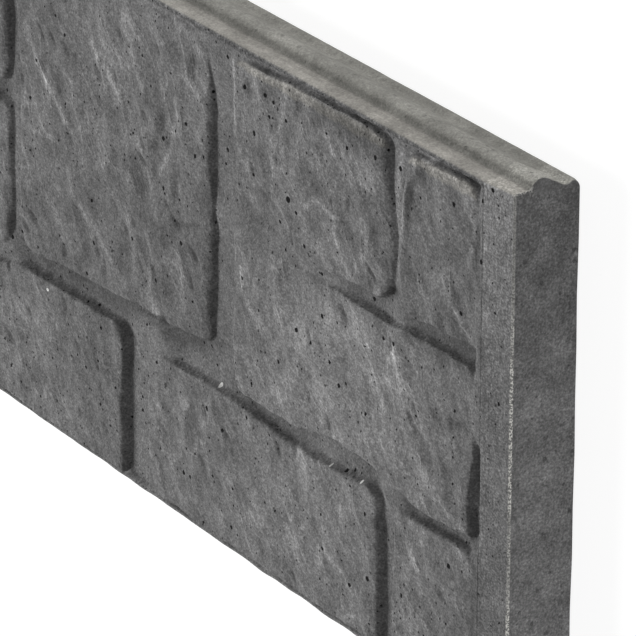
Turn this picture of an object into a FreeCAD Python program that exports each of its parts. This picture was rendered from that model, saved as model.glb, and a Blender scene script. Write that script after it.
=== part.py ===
"""Concrete gravel board with a rock-face front, a tongue on its upper edge and a groove in its lower edge.

The board lies on its back. X runs along its length, Y across it towards the tongue, and Z out of the face.
The origin is in the middle of the back.
"""
import FreeCAD, Part
import itertools
import math
import os
import Sketcher

NODE = "gravel_board"
# Edges nearer than this to a level lie at it.
NEAR = 0.01
# Cubic millimetres in a litre.
LITRE = 1e6

# Driving dimensions in millimetres and degrees, with what each one measures.
SIZES = (
    ("length", 1840.0, "whole length"),
    ("height", 360.0, "lower edge to the crest of the tongue"),
    ("end_thickness", 48.0, "back to front at the very end, which slides into the post"),
    ("end_taper", 2.5, "how far the plain strip rises from the end to the panel"),
    ("strip_width", 27.0, "plain strip at each end"),
    ("nose_radius", 2.5, "rounded front arris of the ledge"),
    ("arris_radius", 1.5, "rounded front arris of the lower edge"),
    ("back_radius", 5.0, "rounded long arrises of the back"),
    ("tongue_width", 20.5, "tongue at its foot"),
    ("tongue_height", 6.0, "tongue above the ledge"),
    ("tongue_back", 16.0, "foot of the tongue's back flank above the back"),
    ("front_slope", 60.0, "slope of the tongue's front flank, from the ledge"),
    ("back_slope", 30.0, "slope of its back flank"),
    ("shoulder_drop", 1.0, "how far the shoulder behind the tongue lies under the ledge"),
    ("quirk_width", 7.5, "hollow between the tongue and the shoulder"),
    ("quirk_depth", 1.4, "depth of that hollow under the shoulder"),
    ("groove_clearance", 1.0, "play between a tongue and the groove of the board above it"),
    ("rim_width", 4.0, "plain rim between the edges and the sunk panel"),
    ("rim_lap", 2.0, "how far the stones of the bottom course reach over the lower rim"),
    ("joint_depth", 6.0, "joint floor below the rim"),
    ("stone_rise", 2.5, "high stones above the rim"),
    ("low_stone_rise", 1.5, "low stones above the rim"),
    ("draft", 12.0, "slope of the mould's walls"),
    ("corner_radius", 11.0, "rounded corners of the stones, seen from the front"),
    ("stone_bevel", 1.2, "broken upper edges of the stones"),
    ("end_joint", 2.0, "crevice between the strips and the stones beside them"),
    ("rim_joint", 3.0, "joint between the ledge's rim and the stones under it"),
    ("bed_joint", 7.0, "joint between two courses"),
    ("fine_joint", 13.0, "upright joint between two stones of one bay"),
    ("wide_joint", 25.0, "upright joint between two bays"),
    ("top_course", 107.0, "height of the top course"),
    ("middle_course", 114.0, "height of the middle course"),
    ("small_stone", 77.0, "width of the smallest stone"),
    ("mid_stone", 124.0, "width of a middling stone"),
    ("broad_stone", 172.0, "width of a broad stone"),
    ("slim_stone", 150.0, "width of a slim stone as tall as two courses"),
    ("tall_stone", 233.0, "width of a wide stone as tall as two courses"),
    ("cap_stone", 90.0, "width of the short stones of the bottom course"),
    ("base_stone", 196.0, "width of the middling stones of the bottom course"),
    ("long_stone", 263.0, "width of the long stones of the bottom course"),
    ("tall_slant", 17.0, "how far a tall stone's lower edge rises towards the end it is laid from"),
    ("lean", 3.0, "how far the other stones' edges lean"),
)

# Bays of the two upper courses, laid from the right end: how each is split, its stones, the joint after it.
BAYS = (
    ("split top", ("small_stone", "broad_stone"), "wide_joint"),
    ("tall", ("tall_stone",), "fine_joint"),
    ("split middle", ("broad_stone", "mid_stone"), "wide_joint"),
    ("tall", ("slim_stone",), "fine_joint"),
    ("split top", ("broad_stone", "mid_stone"), "wide_joint"),
)
# Stones that stand out less than the others.
LOW_STONES = ("small_stone", "tall_stone", "long_stone")
# Stones of the bottom course, laid from the right end, with the joint after each.
BOTTOM_COURSE = (
    ("cap_stone", "fine_joint"),
    ("long_stone", "wide_joint"),
    ("base_stone", "fine_joint"),
)

doc = FreeCAD.newDocument("GravelBoard")
sheet = doc.addObject("Spreadsheet::Sheet", "Sizes")
for row, (alias, value, meaning) in enumerate(SIZES, start=1):
    sheet.set(f"A{row}", str(value))
    sheet.setAlias(f"A{row}", alias)
    sheet.set(f"B{row}", meaning)
doc.recompute()
body = doc.addObject("PartDesign::Body", NODE)
body.Label = NODE


def size(alias):
    """Return the expression that names one driving dimension."""
    return f"Sizes.{alias}"


def total(*terms):
    """Return the expression that adds several expressions up."""
    return " + ".join(f"({term})" for term in terms) if terms else "0"


PANEL_THICKNESS = total(size("end_thickness"), size("end_taper"))
LEDGE = f"{size('height')} - {size('tongue_height')}"
JOINT_FLOOR = f"{PANEL_THICKNESS} - {size('joint_depth')}"
# Origin of the sketches drawn on the face: the left end of the lower edge.
LOWER_LEFT = {"x": f"-{size('length')} / 2", "y": f"-{size('height')} / 2"}


def new_sketch(name, role, **offset):
    """Add a sketch to the body on one of its origin planes, moved by expressions for x, y or z."""
    plane = next(feature for feature in body.Origin.OriginFeatures if feature.Role == role)
    sketch = body.newObject("Sketcher::SketchObject", name)
    sketch.AttachmentSupport = [(plane, "")]
    sketch.MapMode = "FlatFace"
    for axis, expression in offset.items():
        sketch.setExpression(f"AttachmentOffset.Base.{axis}", expression)
    return sketch


def drive(sketch, kind, elements, expression):
    """Add a dimension to a sketch and bind it to an expression."""
    value = sketch.evalExpression(expression)
    index = sketch.addConstraint(Sketcher.Constraint(kind, *elements, value))
    sketch.setExpression(f"Constraints[{index}]", expression)


def add_polygon(sketch, corners):
    """Draw a closed polygon whose corners are pairs of expressions from the sketch's origin."""
    points = [FreeCAD.Vector(*[sketch.evalExpression(term) for term in corner], 0) for corner in corners]
    following = points[1:] + points[:1]
    lines = [sketch.addGeometry(Part.LineSegment(*ends)) for ends in zip(points, following)]
    for line, after in zip(lines, lines[1:] + lines[:1]):
        sketch.addConstraint(Sketcher.Constraint("Coincident", line, 2, after, 1))
    for line, (across, along) in zip(lines, corners):
        drive(sketch, "DistanceX", (-1, 1, line, 1), across)
        drive(sketch, "DistanceY", (-1, 1, line, 1), along)


def add_chord(sketch, level, low, width):
    """Draw an upright line at a level, which starts at a height and has a width, and return it."""
    start = FreeCAD.Vector(sketch.evalExpression(level), sketch.evalExpression(low), 0)
    finish = start + FreeCAD.Vector(0, sketch.evalExpression(width), 0)
    chord = sketch.addGeometry(Part.LineSegment(start, finish))
    sketch.addConstraint(Sketcher.Constraint("Vertical", chord))
    drive(sketch, "DistanceX", (-1, 1, chord, 1), level)
    drive(sketch, "DistanceY", (-1, 1, chord, 1), low)
    drive(sketch, "DistanceY", (chord, 1, chord, 2), width)
    return chord


def add_hollow(sketch, level, low, width, depth):
    """Draw a chord at a level and the flat arc that hollows out what lies below it."""
    chord = add_chord(sketch, level, low, width)
    start, finish = sketch.getPoint(chord, 1), sketch.getPoint(chord, 2)
    deepest = (start + finish) / 2 - FreeCAD.Vector(sketch.evalExpression(depth), 0, 0)
    arc = sketch.addGeometry(Part.Arc(finish, deepest, start))
    sketch.addConstraint(Sketcher.Constraint("Coincident", arc, 1, chord, 2))
    sketch.addConstraint(Sketcher.Constraint("Coincident", arc, 2, chord, 1))
    drive(sketch, "Radius", (arc,), f"(({width})^2 / 4 + ({depth})^2) / (2 * ({depth}))")


def add_tongue(sketch, level, play):
    """Draw the tongue's section on a level: a steep front flank, a round crest and a long back flank.

    `play` is an expression for how much larger it is than the tongue, which makes it the groove's section.
    """
    front, back = size("front_slope"), size("back_slope")
    foot = f"{size('tongue_back')} - {play}"
    width = f"{size('tongue_width')} + 2 * {play}"
    rise = f"{size('tongue_height')} + {play}"
    flanks = f"({rise}) / tan({front}) + ({rise}) / tan({back})"
    radius = f"({width} - ({flanks})) / (tan({front} / 2) + tan({back} / 2))"
    middle = f"{foot} + (({radius}) + ({rise} - ({radius})) * cos({back})) / sin({back})"
    base = f"{level} + {rise} - ({radius})"
    chord = add_chord(sketch, level, foot, width)
    centre = FreeCAD.Vector(sketch.evalExpression(base), sketch.evalExpression(middle), 0)
    circle = Part.Circle(centre, FreeCAD.Vector(0, 0, 1), sketch.evalExpression(radius))
    ends = [math.radians(sketch.evalExpression(turn)) for turn in (f"-{back}", front)]
    crest = sketch.addGeometry(Part.ArcOfCircle(circle, *ends))
    back_flank = sketch.addGeometry(Part.LineSegment(sketch.getPoint(chord, 1), sketch.getPoint(crest, 1)))
    front_flank = sketch.addGeometry(Part.LineSegment(sketch.getPoint(crest, 2), sketch.getPoint(chord, 2)))
    sketch.addConstraint(Sketcher.Constraint("Coincident", back_flank, 1, chord, 1))
    sketch.addConstraint(Sketcher.Constraint("Coincident", front_flank, 2, chord, 2))
    sketch.addConstraint(Sketcher.Constraint("Tangent", back_flank, 2, crest, 1))
    sketch.addConstraint(Sketcher.Constraint("Tangent", crest, 2, front_flank, 1))
    drive(sketch, "DistanceX", (-1, 1, crest, 3), base)
    drive(sketch, "DistanceY", (-1, 1, crest, 3), middle)
    drive(sketch, "Radius", (crest,), radius)


def add_feature(kind, name, sketch, length, **settings):
    """Pad or pocket a sketch by a length that is given as an expression."""
    feature = body.newObject(f"PartDesign::{kind}", name)
    feature.Profile = sketch
    feature.setExpression("Length", length)
    for setting, value in settings.items():
        setattr(feature, setting, value)
    doc.recompute()


def number(expression):
    """Return the value of an expression at the sizes in the sheet."""
    return body.evalExpression(expression)


def work_edges(name, kind, measure, wanted):
    """Round (Fillet, by its Radius) or break (Chamfer, by its Size) the edges that pass the test `wanted`."""
    base = body.Tip
    names = [f"Edge{index}" for index, edge in enumerate(base.Shape.Edges, start=1) if wanted(edge)]
    feature = body.newObject(f"PartDesign::{kind}", name)
    feature.Base = (base, names)
    feature.setExpression("Radius" if kind == "Fillet" else "Size", size(measure))
    doc.recompute()


def spans(shape, low, high):
    """Tell whether an edge or a face reaches from one height above the back to another."""
    return abs(shape.BoundBox.ZMin - low) < NEAR and abs(shape.BoundBox.ZMax - high) < NEAR


def lies_at(shape, level):
    """Tell whether an edge or a face lies flat at a height above the back."""
    return spans(shape, level, level)


def draft_walls(name, neutral_level, wanted):
    """Slope the faces that pass the test `wanted`, for the mould, and keep their size at one level."""
    base = body.Tip
    faces = list(enumerate(base.Shape.Faces, start=1))
    neutral = next(index for index, face in faces if lies_at(face, neutral_level))
    draft = body.newObject("PartDesign::Draft", name)
    doc.recompute()
    draft.Base = (base, [f"Face{index}" for index, face in faces if wanted(face)])
    draft.NeutralPlane = (base, [f"Face{neutral}"])
    draft.setExpression("Angle", size("draft"))
    doc.recompute()


def make_slab():
    """Make the slab: its outline seen from the lower edge, with both ends tapered, drawn up to the ledge."""
    outline = new_sketch("slab_outline", "XZ_Plane", x=f"-{size('length')} / 2", z=f"{size('height')} / 2")
    near_end = f"{size('length')} - {size('strip_width')}"
    add_polygon(outline, (
        ("0", "0"),
        (size("length"), "0"),
        (size("length"), size("end_thickness")),
        (near_end, PANEL_THICKNESS),
        (size("strip_width"), PANEL_THICKNESS),
        ("0", size("end_thickness")),
    ))
    add_feature("Pad", "slab", outline, LEDGE, Reversed=True)
    front = number(size("end_thickness"))
    ledge = number(f"{LEDGE} - {size('height')} / 2")
    foot = number(f"-{size('height')} / 2")
    work_edges("ledge_nose", "Fillet", "nose_radius",
               lambda edge: edge.BoundBox.ZMin > front - NEAR and edge.BoundBox.YMin > ledge - NEAR)
    work_edges("lower_arris", "Fillet", "arris_radius",
               lambda edge: edge.BoundBox.ZMin > front - NEAR and edge.BoundBox.YMax < foot + NEAR)


def make_stacking_edges():
    """Make the tongue on the upper edge, the shoulder behind it, and the groove that takes another tongue."""
    across = {"x": f"-{size('height')} / 2"}
    whole = {"length": size("length"), "SideType": "Symmetric"}
    shoulder = f"{LEDGE} - {size('shoulder_drop')}"
    shoulder_end = f"{size('tongue_back')} - {size('shoulder_drop')} / tan({size('back_slope')})"
    step = new_sketch("shoulder_section", "YZ_Plane", **across)
    add_polygon(step, ((shoulder, "0"), (LEDGE, "0"), (LEDGE, size("tongue_back")), (shoulder, shoulder_end)))
    add_feature("Pocket", "shoulder", step, **whole)
    quirk = new_sketch("quirk_section", "YZ_Plane", **across)
    quirk_start = f"{shoulder_end} - {size('quirk_width')}"
    add_hollow(quirk, shoulder, quirk_start, size("quirk_width"), size("quirk_depth"))
    add_feature("Pocket", "quirk", quirk, **whole)
    tongue = new_sketch("tongue_section", "YZ_Plane", **across)
    add_tongue(tongue, LEDGE, "0")
    add_feature("Pad", "tongue", tongue, **whole)
    groove = new_sketch("groove_section", "YZ_Plane", **across)
    add_tongue(groove, "0", size("groove_clearance"))
    add_feature("Pocket", "groove", groove, **whole)
    longest = number(size("length"))
    work_edges("back_arrises", "Fillet", "back_radius",
               lambda edge: lies_at(edge, 0) and edge.Length > longest - NEAR)


def sink_panel():
    """Sink the panel between the rims and the end strips down to the floor of the joints."""
    panel = new_sketch("panel_outline", "XY_Plane", **LOWER_LEFT, z=PANEL_THICKNESS)
    left, right = size("strip_width"), f"{size('length')} - {size('strip_width')}"
    low, high = size("rim_width"), f"{LEDGE} - {size('rim_width')}"
    add_polygon(panel, ((left, low), (right, low), (right, high), (left, high)))
    add_feature("Pocket", "sunk_panel", panel, size("joint_depth"))
    floor = number(JOINT_FLOOR)
    rim = number(PANEL_THICKNESS)
    draft_walls("panel_walls", rim, lambda face: spans(face, floor, rim))


class Stonework:
    """Stones of the face, laid in three courses from the right end.

    Distances along a course are expressions measured leftwards from the right-hand strip, and heights are
    expressions measured upwards from the lower edge.
    """

    def __init__(self):
        self.outlines = {"stone_rise": [], "low_stone_rise": []}
        self.laid = 0
        self.course_end = f"{size('length')} - 2 * {size('strip_width')} - {size('end_joint')}"
        self.top = f"{LEDGE} - {size('rim_width')} - {size('rim_joint')}"
        self.upper_bed = f"{self.top} - {size('top_course')}"
        self.lower_bed = f"{self.upper_bed} - {size('bed_joint')} - {size('middle_course')}"

    def lay(self):
        """Lay the bays of the two upper courses and then the bottom course."""
        self.lay_bays()
        self.lay_bottom_course()

    def fits(self, reached, joint, end):
        """Tell whether a joint and another stone fit between a finished stretch and an end."""
        return number(f"({end}) - ({reached}) - {size(joint)} - {size('small_stone')}") > 0

    def lay_bays(self):
        """Lay bays of the two upper courses until the face is full; the last one takes what is left."""
        start = size("end_joint")
        for split, stones, joint in itertools.cycle(BAYS):
            widths = total(*[size(stone) for stone in stones])
            finish = total(start, widths, f"{len(stones) - 1} * {size('fine_joint')}")
            last = not self.fits(finish, joint, self.course_end)
            if last:
                finish = self.course_end
            self.lay_bay(split, stones, start, finish)
            if last:
                return
            start = total(finish, size(joint))

    def lay_bay(self, split, stones, start, finish):
        """Lay one bay: a tall stone, or one stone over several, or several over one."""
        middle_top = f"{self.upper_bed} - {size('bed_joint')}"
        if split == "tall":
            self.add_stone(*stones, start, finish, self.lower_bed, self.top, slant=size("tall_slant"))
            return
        whole = ("bay",)
        top_stones, middle_stones = (stones, whole) if split == "split top" else (whole, stones)
        self.lay_row(top_stones, start, finish, self.upper_bed, self.top)
        self.lay_row(middle_stones, start, finish, self.lower_bed, middle_top)

    def lay_row(self, stones, start, finish, bottom, top):
        """Lay stones side by side, as many as fit; the last one ends where the row does."""
        for stone in stones[:-1]:
            end = total(start, size(stone))
            if not self.fits(end, "fine_joint", finish):
                break
            self.add_stone(stone, start, end, bottom, top)
            start = total(end, size("fine_joint"))
        self.add_stone(stones[-1], start, finish, bottom, top)

    def lay_bottom_course(self):
        """Lay the bottom course until it is full; its last stone takes what is left."""
        start = size("end_joint")
        bottom = f"{size('rim_width')} - {size('rim_lap')}"
        top = f"{self.lower_bed} - {size('bed_joint')}"
        for stone, joint in itertools.cycle(BOTTOM_COURSE):
            finish = total(start, size(stone))
            last = not self.fits(finish, joint, self.course_end)
            if last:
                finish = self.course_end
            self.add_stone(stone, start, finish, bottom, top, slant="0")
            if last:
                return
            start = total(finish, size(joint))

    def add_stone(self, stone, start, finish, bottom, top, slant=None):
        """Note one stone's four corners; its edges lean to one side and to the other by turns."""
        lean = size("lean")
        leftward = self.laid % 2 == 0
        self.laid += 1
        right = f"{size('length')} - {size('strip_width')} - ({start})"
        left = f"{size('length')} - {size('strip_width')} - ({finish})"
        lifted = f"{bottom} + {slant or lean}"
        self.outlines["low_stone_rise" if stone in LOW_STONES else "stone_rise"].append((
            (left, bottom),
            (right if leftward else f"{right} - {lean}", lifted),
            (f"{right} - {lean}" if leftward else right, top),
            (left if leftward else f"{left} + {lean}", f"{top} - {lean}"),
        ))

    def carve(self, name, rise):
        """Raise the high or the low stones from the floor of the joints."""
        sketch = new_sketch(f"{name}_outlines", "XY_Plane", **LOWER_LEFT, z=JOINT_FLOOR)
        for outline in self.outlines[rise]:
            add_polygon(sketch, outline)
        add_feature("Pad", name, sketch, f"{size('joint_depth')} + {size(rise)}")


def make_stonework():
    """Lay the stones, round their corners, slope their walls and break their upper edges."""
    stonework = Stonework()
    stonework.lay()
    stonework.carve("high_stones", "stone_rise")
    stonework.carve("low_stones", "low_stone_rise")
    floor = number(JOINT_FLOOR)
    rim = number(PANEL_THICKNESS)
    tops = [number(f"{PANEL_THICKNESS} + {size(rise)}") for rise in stonework.outlines]
    work_edges("stone_corners", "Fillet", "corner_radius",
               lambda edge: any(spans(edge, floor, top) for top in tops))
    draft_walls("stone_walls", floor,
                lambda face: any(spans(face, foot, top) for foot in (floor, rim) for top in tops))
    work_edges("stone_edges", "Chamfer", "stone_bevel", lambda edge: any(lies_at(edge, top) for top in tops))


def check_and_write():
    """Stop at any failed object, then write the board."""
    doc.recompute()
    failed = [item.Name for item in doc.Objects if {"Invalid", "Error"} & set(item.State)]
    shape = body.Shape
    if failed or shape.isNull() or not shape.isValid() or len(shape.Solids) != 1:
        raise RuntimeError(f"the board did not build: {failed}")
    os.makedirs("parts", exist_ok=True)
    shape.exportStep(f"parts/{NODE}.step")
    print(NODE, shape.BoundBox, f"{shape.Volume / LITRE:.3f} litres")


make_slab()
make_stacking_edges()
sink_panel()
make_stonework()
check_and_write()
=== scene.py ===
"""Looks of the concrete gravel board, lying face up on a pale studio floor."""
import logging
import math
import random
from dataclasses import dataclass, field
from enum import Enum

import bmesh
import bpy
import numpy as np
from mathutils import Matrix, Vector, noise
from mathutils.geometry import delaunay_2d_cdt


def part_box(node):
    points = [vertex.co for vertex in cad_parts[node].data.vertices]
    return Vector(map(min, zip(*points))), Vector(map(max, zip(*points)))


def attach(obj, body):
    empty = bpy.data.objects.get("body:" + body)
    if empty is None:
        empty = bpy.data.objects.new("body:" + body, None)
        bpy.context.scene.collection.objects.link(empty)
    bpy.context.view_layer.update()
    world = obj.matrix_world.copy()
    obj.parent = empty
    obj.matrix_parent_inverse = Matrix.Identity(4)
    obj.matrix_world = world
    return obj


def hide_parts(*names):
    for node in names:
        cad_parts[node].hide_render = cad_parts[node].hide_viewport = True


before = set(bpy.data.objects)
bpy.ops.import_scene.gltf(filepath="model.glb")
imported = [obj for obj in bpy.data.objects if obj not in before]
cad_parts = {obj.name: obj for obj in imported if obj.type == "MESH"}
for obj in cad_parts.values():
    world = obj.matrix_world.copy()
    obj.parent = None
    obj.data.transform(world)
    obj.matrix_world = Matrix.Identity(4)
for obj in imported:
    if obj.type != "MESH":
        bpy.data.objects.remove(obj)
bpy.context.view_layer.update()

LOG = logging.getLogger("gravel_board")
MM = 0.001
NODE = "gravel_board"
BODY = "root"
# Noise seldom comes near 1, so it is lifted by this.
NOISE_GAIN = 1.4
# Points closer than this are one point to the triangulation.
WELD = 1e-7


class Mark(Enum):
    """Names of the values that the mesh carries for its finish, painted light and shade among them."""

    # Paler ridges between scars: a painted highlight.
    RIDGE = "ridge"
    # Darker dents and hollows: dirt and painted shade.
    DENT = "dent"
    HEWN = "hewn"
    VEIN = "vein"
    # Painted shade on the floors of the joints under the stones.
    UNDER_SHADE = "under"


def ease(value: np.ndarray) -> np.ndarray:
    """Return a smooth step of values that run from 0 to 1."""
    held = np.clip(value, 0.0, 1.0)
    return held * held * (3.0 - 2.0 * held)


def plateau(points: np.ndarray, middle: tuple[float, float], reach: tuple[float, float]) -> np.ndarray:
    """Return 1 in an oval place, falling to 0 round it.

    Args:
        points: Rows of X and Y, in metres.
        middle: Middle of the place, in millimetres.
        reach: How far it spreads along and across the board, in millimetres.

    Returns:
        One share for each row.
    """
    offset = (points - np.array(middle) * MM) / (np.array(reach) * MM)
    spread = (offset * offset).sum(axis=1)
    return np.exp(-spread * spread)


def turned(offset: np.ndarray, run: float) -> tuple[np.ndarray, np.ndarray]:
    """Return how far points lie along and across a direction.

    Args:
        offset: Rows that begin with X and Y.
        run: The direction in degrees, from X towards Y.

    Returns:
        Distances along the direction, and across it to its left.
    """
    cosine = math.cos(math.radians(run))
    sine = math.sin(math.radians(run))
    along = offset[:, 0] * cosine + offset[:, 1] * sine
    across = offset[:, 1] * cosine - offset[:, 0] * sine
    return along, across


@dataclass(frozen=True)
class Layer:
    """One seeded layer of relief.

    Attributes:
        cell: Size of its lumps across their run, in metres.
        depth: Half of its height, in metres.
        seed: Number that tells it from other layers.
        run: Direction of long lumps in degrees, from X towards Y.
        stretch: How many times longer than wide the lumps are.
    """

    cell: float
    depth: float
    seed: float
    run: float = 0.0
    stretch: float = 1.0

    def at(self, points: np.ndarray) -> np.ndarray:
        """Return the layer's height at each point.

        Args:
            points: Rows of two or three coordinates in metres.

        Returns:
            One height in metres for each row, between minus and plus the depth.
        """
        along, across = turned(points, self.run)
        along = along / (self.cell * self.stretch)
        across = across / self.cell
        up = points[:, 2] / self.cell if points.shape[1] > 2 else np.zeros(len(points))
        places = zip(along.tolist(), across.tolist(), (up + self.seed).tolist())
        values = np.array([noise.noise(place) for place in places])
        return np.clip(values * NOISE_GAIN, -1.0, 1.0) * self.depth


@dataclass(frozen=True)
class Scars:
    """Hollow scars of a hewn stone, which overlap so that ridges stay between them.

    Attributes:
        patch: Area of the stone for each scar, in square metres.
        length, width: Usual half axes of a scar.
        depth: Usual depth of a scar.
        run: Direction of the scars' length in degrees, from X towards Y.
        stray: How far a scar strays from that direction, to either side.
        ridge: Difference of depth under which two scars share a ridge.
        areas, depths: Smallest and largest area and depth of a scar, against the usual ones.
    """

    patch: float
    length: float
    width: float
    depth: float
    run: float = 120.0
    stray: float = 26.0
    ridge: float = 0.25 * MM
    areas: tuple[float, float] = (0.6, 1.6)
    depths: tuple[float, float] = (0.5, 1.4)

    def cut(
        self, low: np.ndarray, high: np.ndarray, points: np.ndarray, seed: int,
    ) -> tuple[np.ndarray, np.ndarray]:
        """Return how deep the scars of one stone are at each point, and how much of a ridge there is.

        Args:
            low: Lowest corner of the stone's box.
            high: Highest corner of the stone's box.
            points: Rows of X and Y.
            seed: The stone's number.

        Returns:
            Depths in metres, and shares of ridge between 0 and 1.
        """
        chance = random.Random(seed)
        deepest = np.zeros(len(points))
        second = np.zeros(len(points))
        for _ in range(round(float(np.prod(high - low)) / self.patch)):
            middle = np.array([chance.uniform(low[0], high[0]), chance.uniform(low[1], high[1])])
            along, across = turned(points - middle, self.run + chance.uniform(-self.stray, self.stray))
            along = along / self.length
            across = across / self.width
            area = chance.uniform(*self.areas)
            depth = self.depth * chance.uniform(*self.depths)
            hollow = depth * (1.0 - (along * along + across * across) / area)
            second = np.maximum(second, np.minimum(deepest, hollow))
            deepest = np.maximum(deepest, hollow)
        return deepest, np.exp((second - deepest) / self.ridge) * (second > 0.0)


@dataclass(frozen=True)
class Spall:
    """A corner broken off the face: what lies beyond a line falls away.

    Attributes:
        x, y: Middle of the line, in millimetres.
        heading: Direction in which the face falls, in degrees from X towards Y.
        slope: How steeply it falls.
        reach: Half the length of the line, in millimetres.
    """

    x: float
    y: float
    heading: float
    slope: float
    reach: float

    def is_on(self, stone: "StoneTop") -> bool:
        """Tell whether the line crosses a stone."""
        gap, _ = stone.distance(np.array([[self.x, self.y]]) * MM)
        return bool(gap[0] < 0.0)

    def at(self, points: np.ndarray) -> np.ndarray:
        """Return how far the face has fallen.

        Args:
            points: Rows of X and Y.

        Returns:
            One distance for each row.
        """
        beyond, aside = turned(points - np.array([self.x, self.y]) * MM, self.heading)
        reach = self.reach * MM
        share = 1.0 - ease(np.abs(aside) / reach)
        return self.slope * np.clip(beyond, 0.0, reach) * share


@dataclass(frozen=True)
class Bite:
    """A place where a stone's edge is drawn in, or pushed out if the depth is negative.

    Attributes:
        x, y: Middle of the place, in millimetres.
        reach: How far it spreads, in millimetres.
        depth: How far the edge is drawn in there, in millimetres.
    """

    x: float
    y: float
    reach: float
    depth: float

    def at(self, points: np.ndarray) -> np.ndarray:
        """Return how far an edge is drawn in at each point."""
        offset = (points - np.array([self.x, self.y]) * MM) / (self.reach * MM)
        return self.depth * MM * np.exp(-(offset * offset).sum(axis=1))


@dataclass(frozen=True)
class Hollow:
    """A single hollow in the face.

    Attributes:
        x, y: Its middle, in millimetres.
        length, width: Its half axes, in millimetres.
        depth: How deep it is, in millimetres.
        run: Direction of its length in degrees, from X towards Y.
    """

    x: float
    y: float
    length: float
    width: float
    depth: float
    run: float = 110.0

    def at(self, points: np.ndarray) -> np.ndarray:
        """Return the share of its depth.

        Args:
            points: Rows of X and Y.

        Returns:
            One share for each row.
        """
        along, across = turned(points - np.array([self.x, self.y]) * MM, self.run)
        along = along / (self.length * MM)
        across = across / (self.width * MM)
        return np.exp(-along * along - across * across)


@dataclass(frozen=True)
class Vein:
    """A pale vein in the face.

    Attributes:
        corners: Places that it runs through, in millimetres.
        width: Half of its width, in millimetres.
    """

    corners: tuple[tuple[float, float], ...]
    width: float = 1.9

    def at(self, points: np.ndarray) -> np.ndarray:
        """Return the share of the vein.

        Args:
            points: Rows of X and Y.

        Returns:
            One share for each row.
        """
        nearest = np.full(len(points), np.inf)
        corners = np.array(self.corners) * MM
        for start, end in zip(corners[:-1], corners[1:]):
            run = end - start
            share = np.clip(((points - start) @ run) / (run @ run), 0.0, 1.0)
            gap = points - start - share[:, None] * run
            nearest = np.minimum(nearest, (gap * gap).sum(axis=1))
        half = self.width * MM
        return np.exp(-nearest / (half * half))


@dataclass(frozen=True)
class JointFill:
    """A place where the joint was left shallow in the mould.

    Attributes:
        x, y: Middle of the place, in millimetres.
        reach_x, reach_y: How far it spreads along and across the board, in millimetres.
        rise: How far the floor of the joint is lifted in its middle, in millimetres.
    """

    x: float
    y: float
    reach_x: float
    reach_y: float
    rise: float

    def at(self, points: np.ndarray) -> np.ndarray:
        """Return how far the floor is lifted at each point."""
        return self.rise * MM * plateau(points, (self.x, self.y), (self.reach_x, self.reach_y))


@dataclass(frozen=True)
class Slip:
    """A place where the stones' outlines lie a little elsewhere than in the solid.

    Attributes:
        x, y: Middle of the place, in millimetres.
        reach_x, reach_y: How far it spreads along and across the board, in millimetres.
        shift_x, shift_y: How far the outlines are moved there, in millimetres.
    """

    x: float
    y: float
    reach_x: float
    reach_y: float
    shift_x: float
    shift_y: float

    def at(self, points: np.ndarray) -> np.ndarray:
        """Return how far the outlines are moved at each point, as rows of X and Y."""
        share = plateau(points, (self.x, self.y), (self.reach_x, self.reach_y))
        return share[:, None] * (np.array([self.shift_x, self.shift_y]) * MM)


@dataclass(frozen=True)
class StoneTop:
    """The flat top of one stone of the frame: its outline seen from the front, and its level."""

    outline: np.ndarray
    level: float

    def box(self, margin: float) -> tuple[np.ndarray, np.ndarray]:
        """Return the lowest and highest corner of the outline, widened by a margin."""
        return self.outline.min(axis=0) - margin, self.outline.max(axis=0) + margin

    def distance(self, points: np.ndarray) -> tuple[np.ndarray, np.ndarray]:
        """Return how far each point lies outside the outline, and the outward direction there.

        Args:
            points: Rows of two coordinates.

        Returns:
            Distances, negative inside, and rows of directions.
        """
        starts = self.outline
        runs = np.roll(starts, -1, axis=0) - starts
        offset = points[:, None, :] - starts[None, :, :]
        share = np.clip((offset * runs).sum(axis=2) / (runs * runs).sum(axis=1), 0.0, 1.0)
        gap = offset - share[:, :, None] * runs[None, :, :]
        squares = (gap * gap).sum(axis=2)
        closest = squares.argmin(axis=1)
        rows = np.arange(len(points))
        nearest = np.sqrt(squares[rows, closest])
        height = points[:, None, 1]
        low = starts[:, 1]
        high = low + runs[:, 1]
        crossed = (low <= height) != (high <= height)
        tiny = 1e-12
        steep = np.where(np.abs(runs[:, 1]) < tiny, tiny, runs[:, 1])
        crossing = starts[:, 0] + (height - low) / steep * runs[:, 0]
        inside = (crossed & (points[:, None, 0] < crossing)).sum(axis=1) % 2 == 1
        side = np.where(inside, -1.0, 1.0)
        outward = gap[rows, closest] * (side / np.maximum(nearest, 1e-9))[:, None]
        return nearest * side, outward

    def ring(self, spacing: float) -> tuple[np.ndarray, np.ndarray]:
        """Return points along the outline and the outward directions there.

        Args:
            spacing: Distance between two points, in metres.

        Returns:
            The points and the directions, a row each.
        """
        runs = np.roll(self.outline, -1, axis=0) - self.outline
        lengths = np.linalg.norm(runs, axis=1)
        reached = np.concatenate(([0.0], np.cumsum(lengths)))
        stops = np.arange(0.0, reached[-1], spacing)
        index = np.searchsorted(reached, stops, side="right") - 1
        share = (stops - reached[index]) / lengths[index]
        places = self.outline[index] + runs[index] * share[:, None]
        following = np.roll(places, -1, axis=0)
        previous = np.roll(places, 1, axis=0)
        heading = following - previous
        heading /= np.linalg.norm(heading, axis=1)[:, None]
        return places, np.stack((heading[:, 1], -heading[:, 0]), axis=1)


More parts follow.
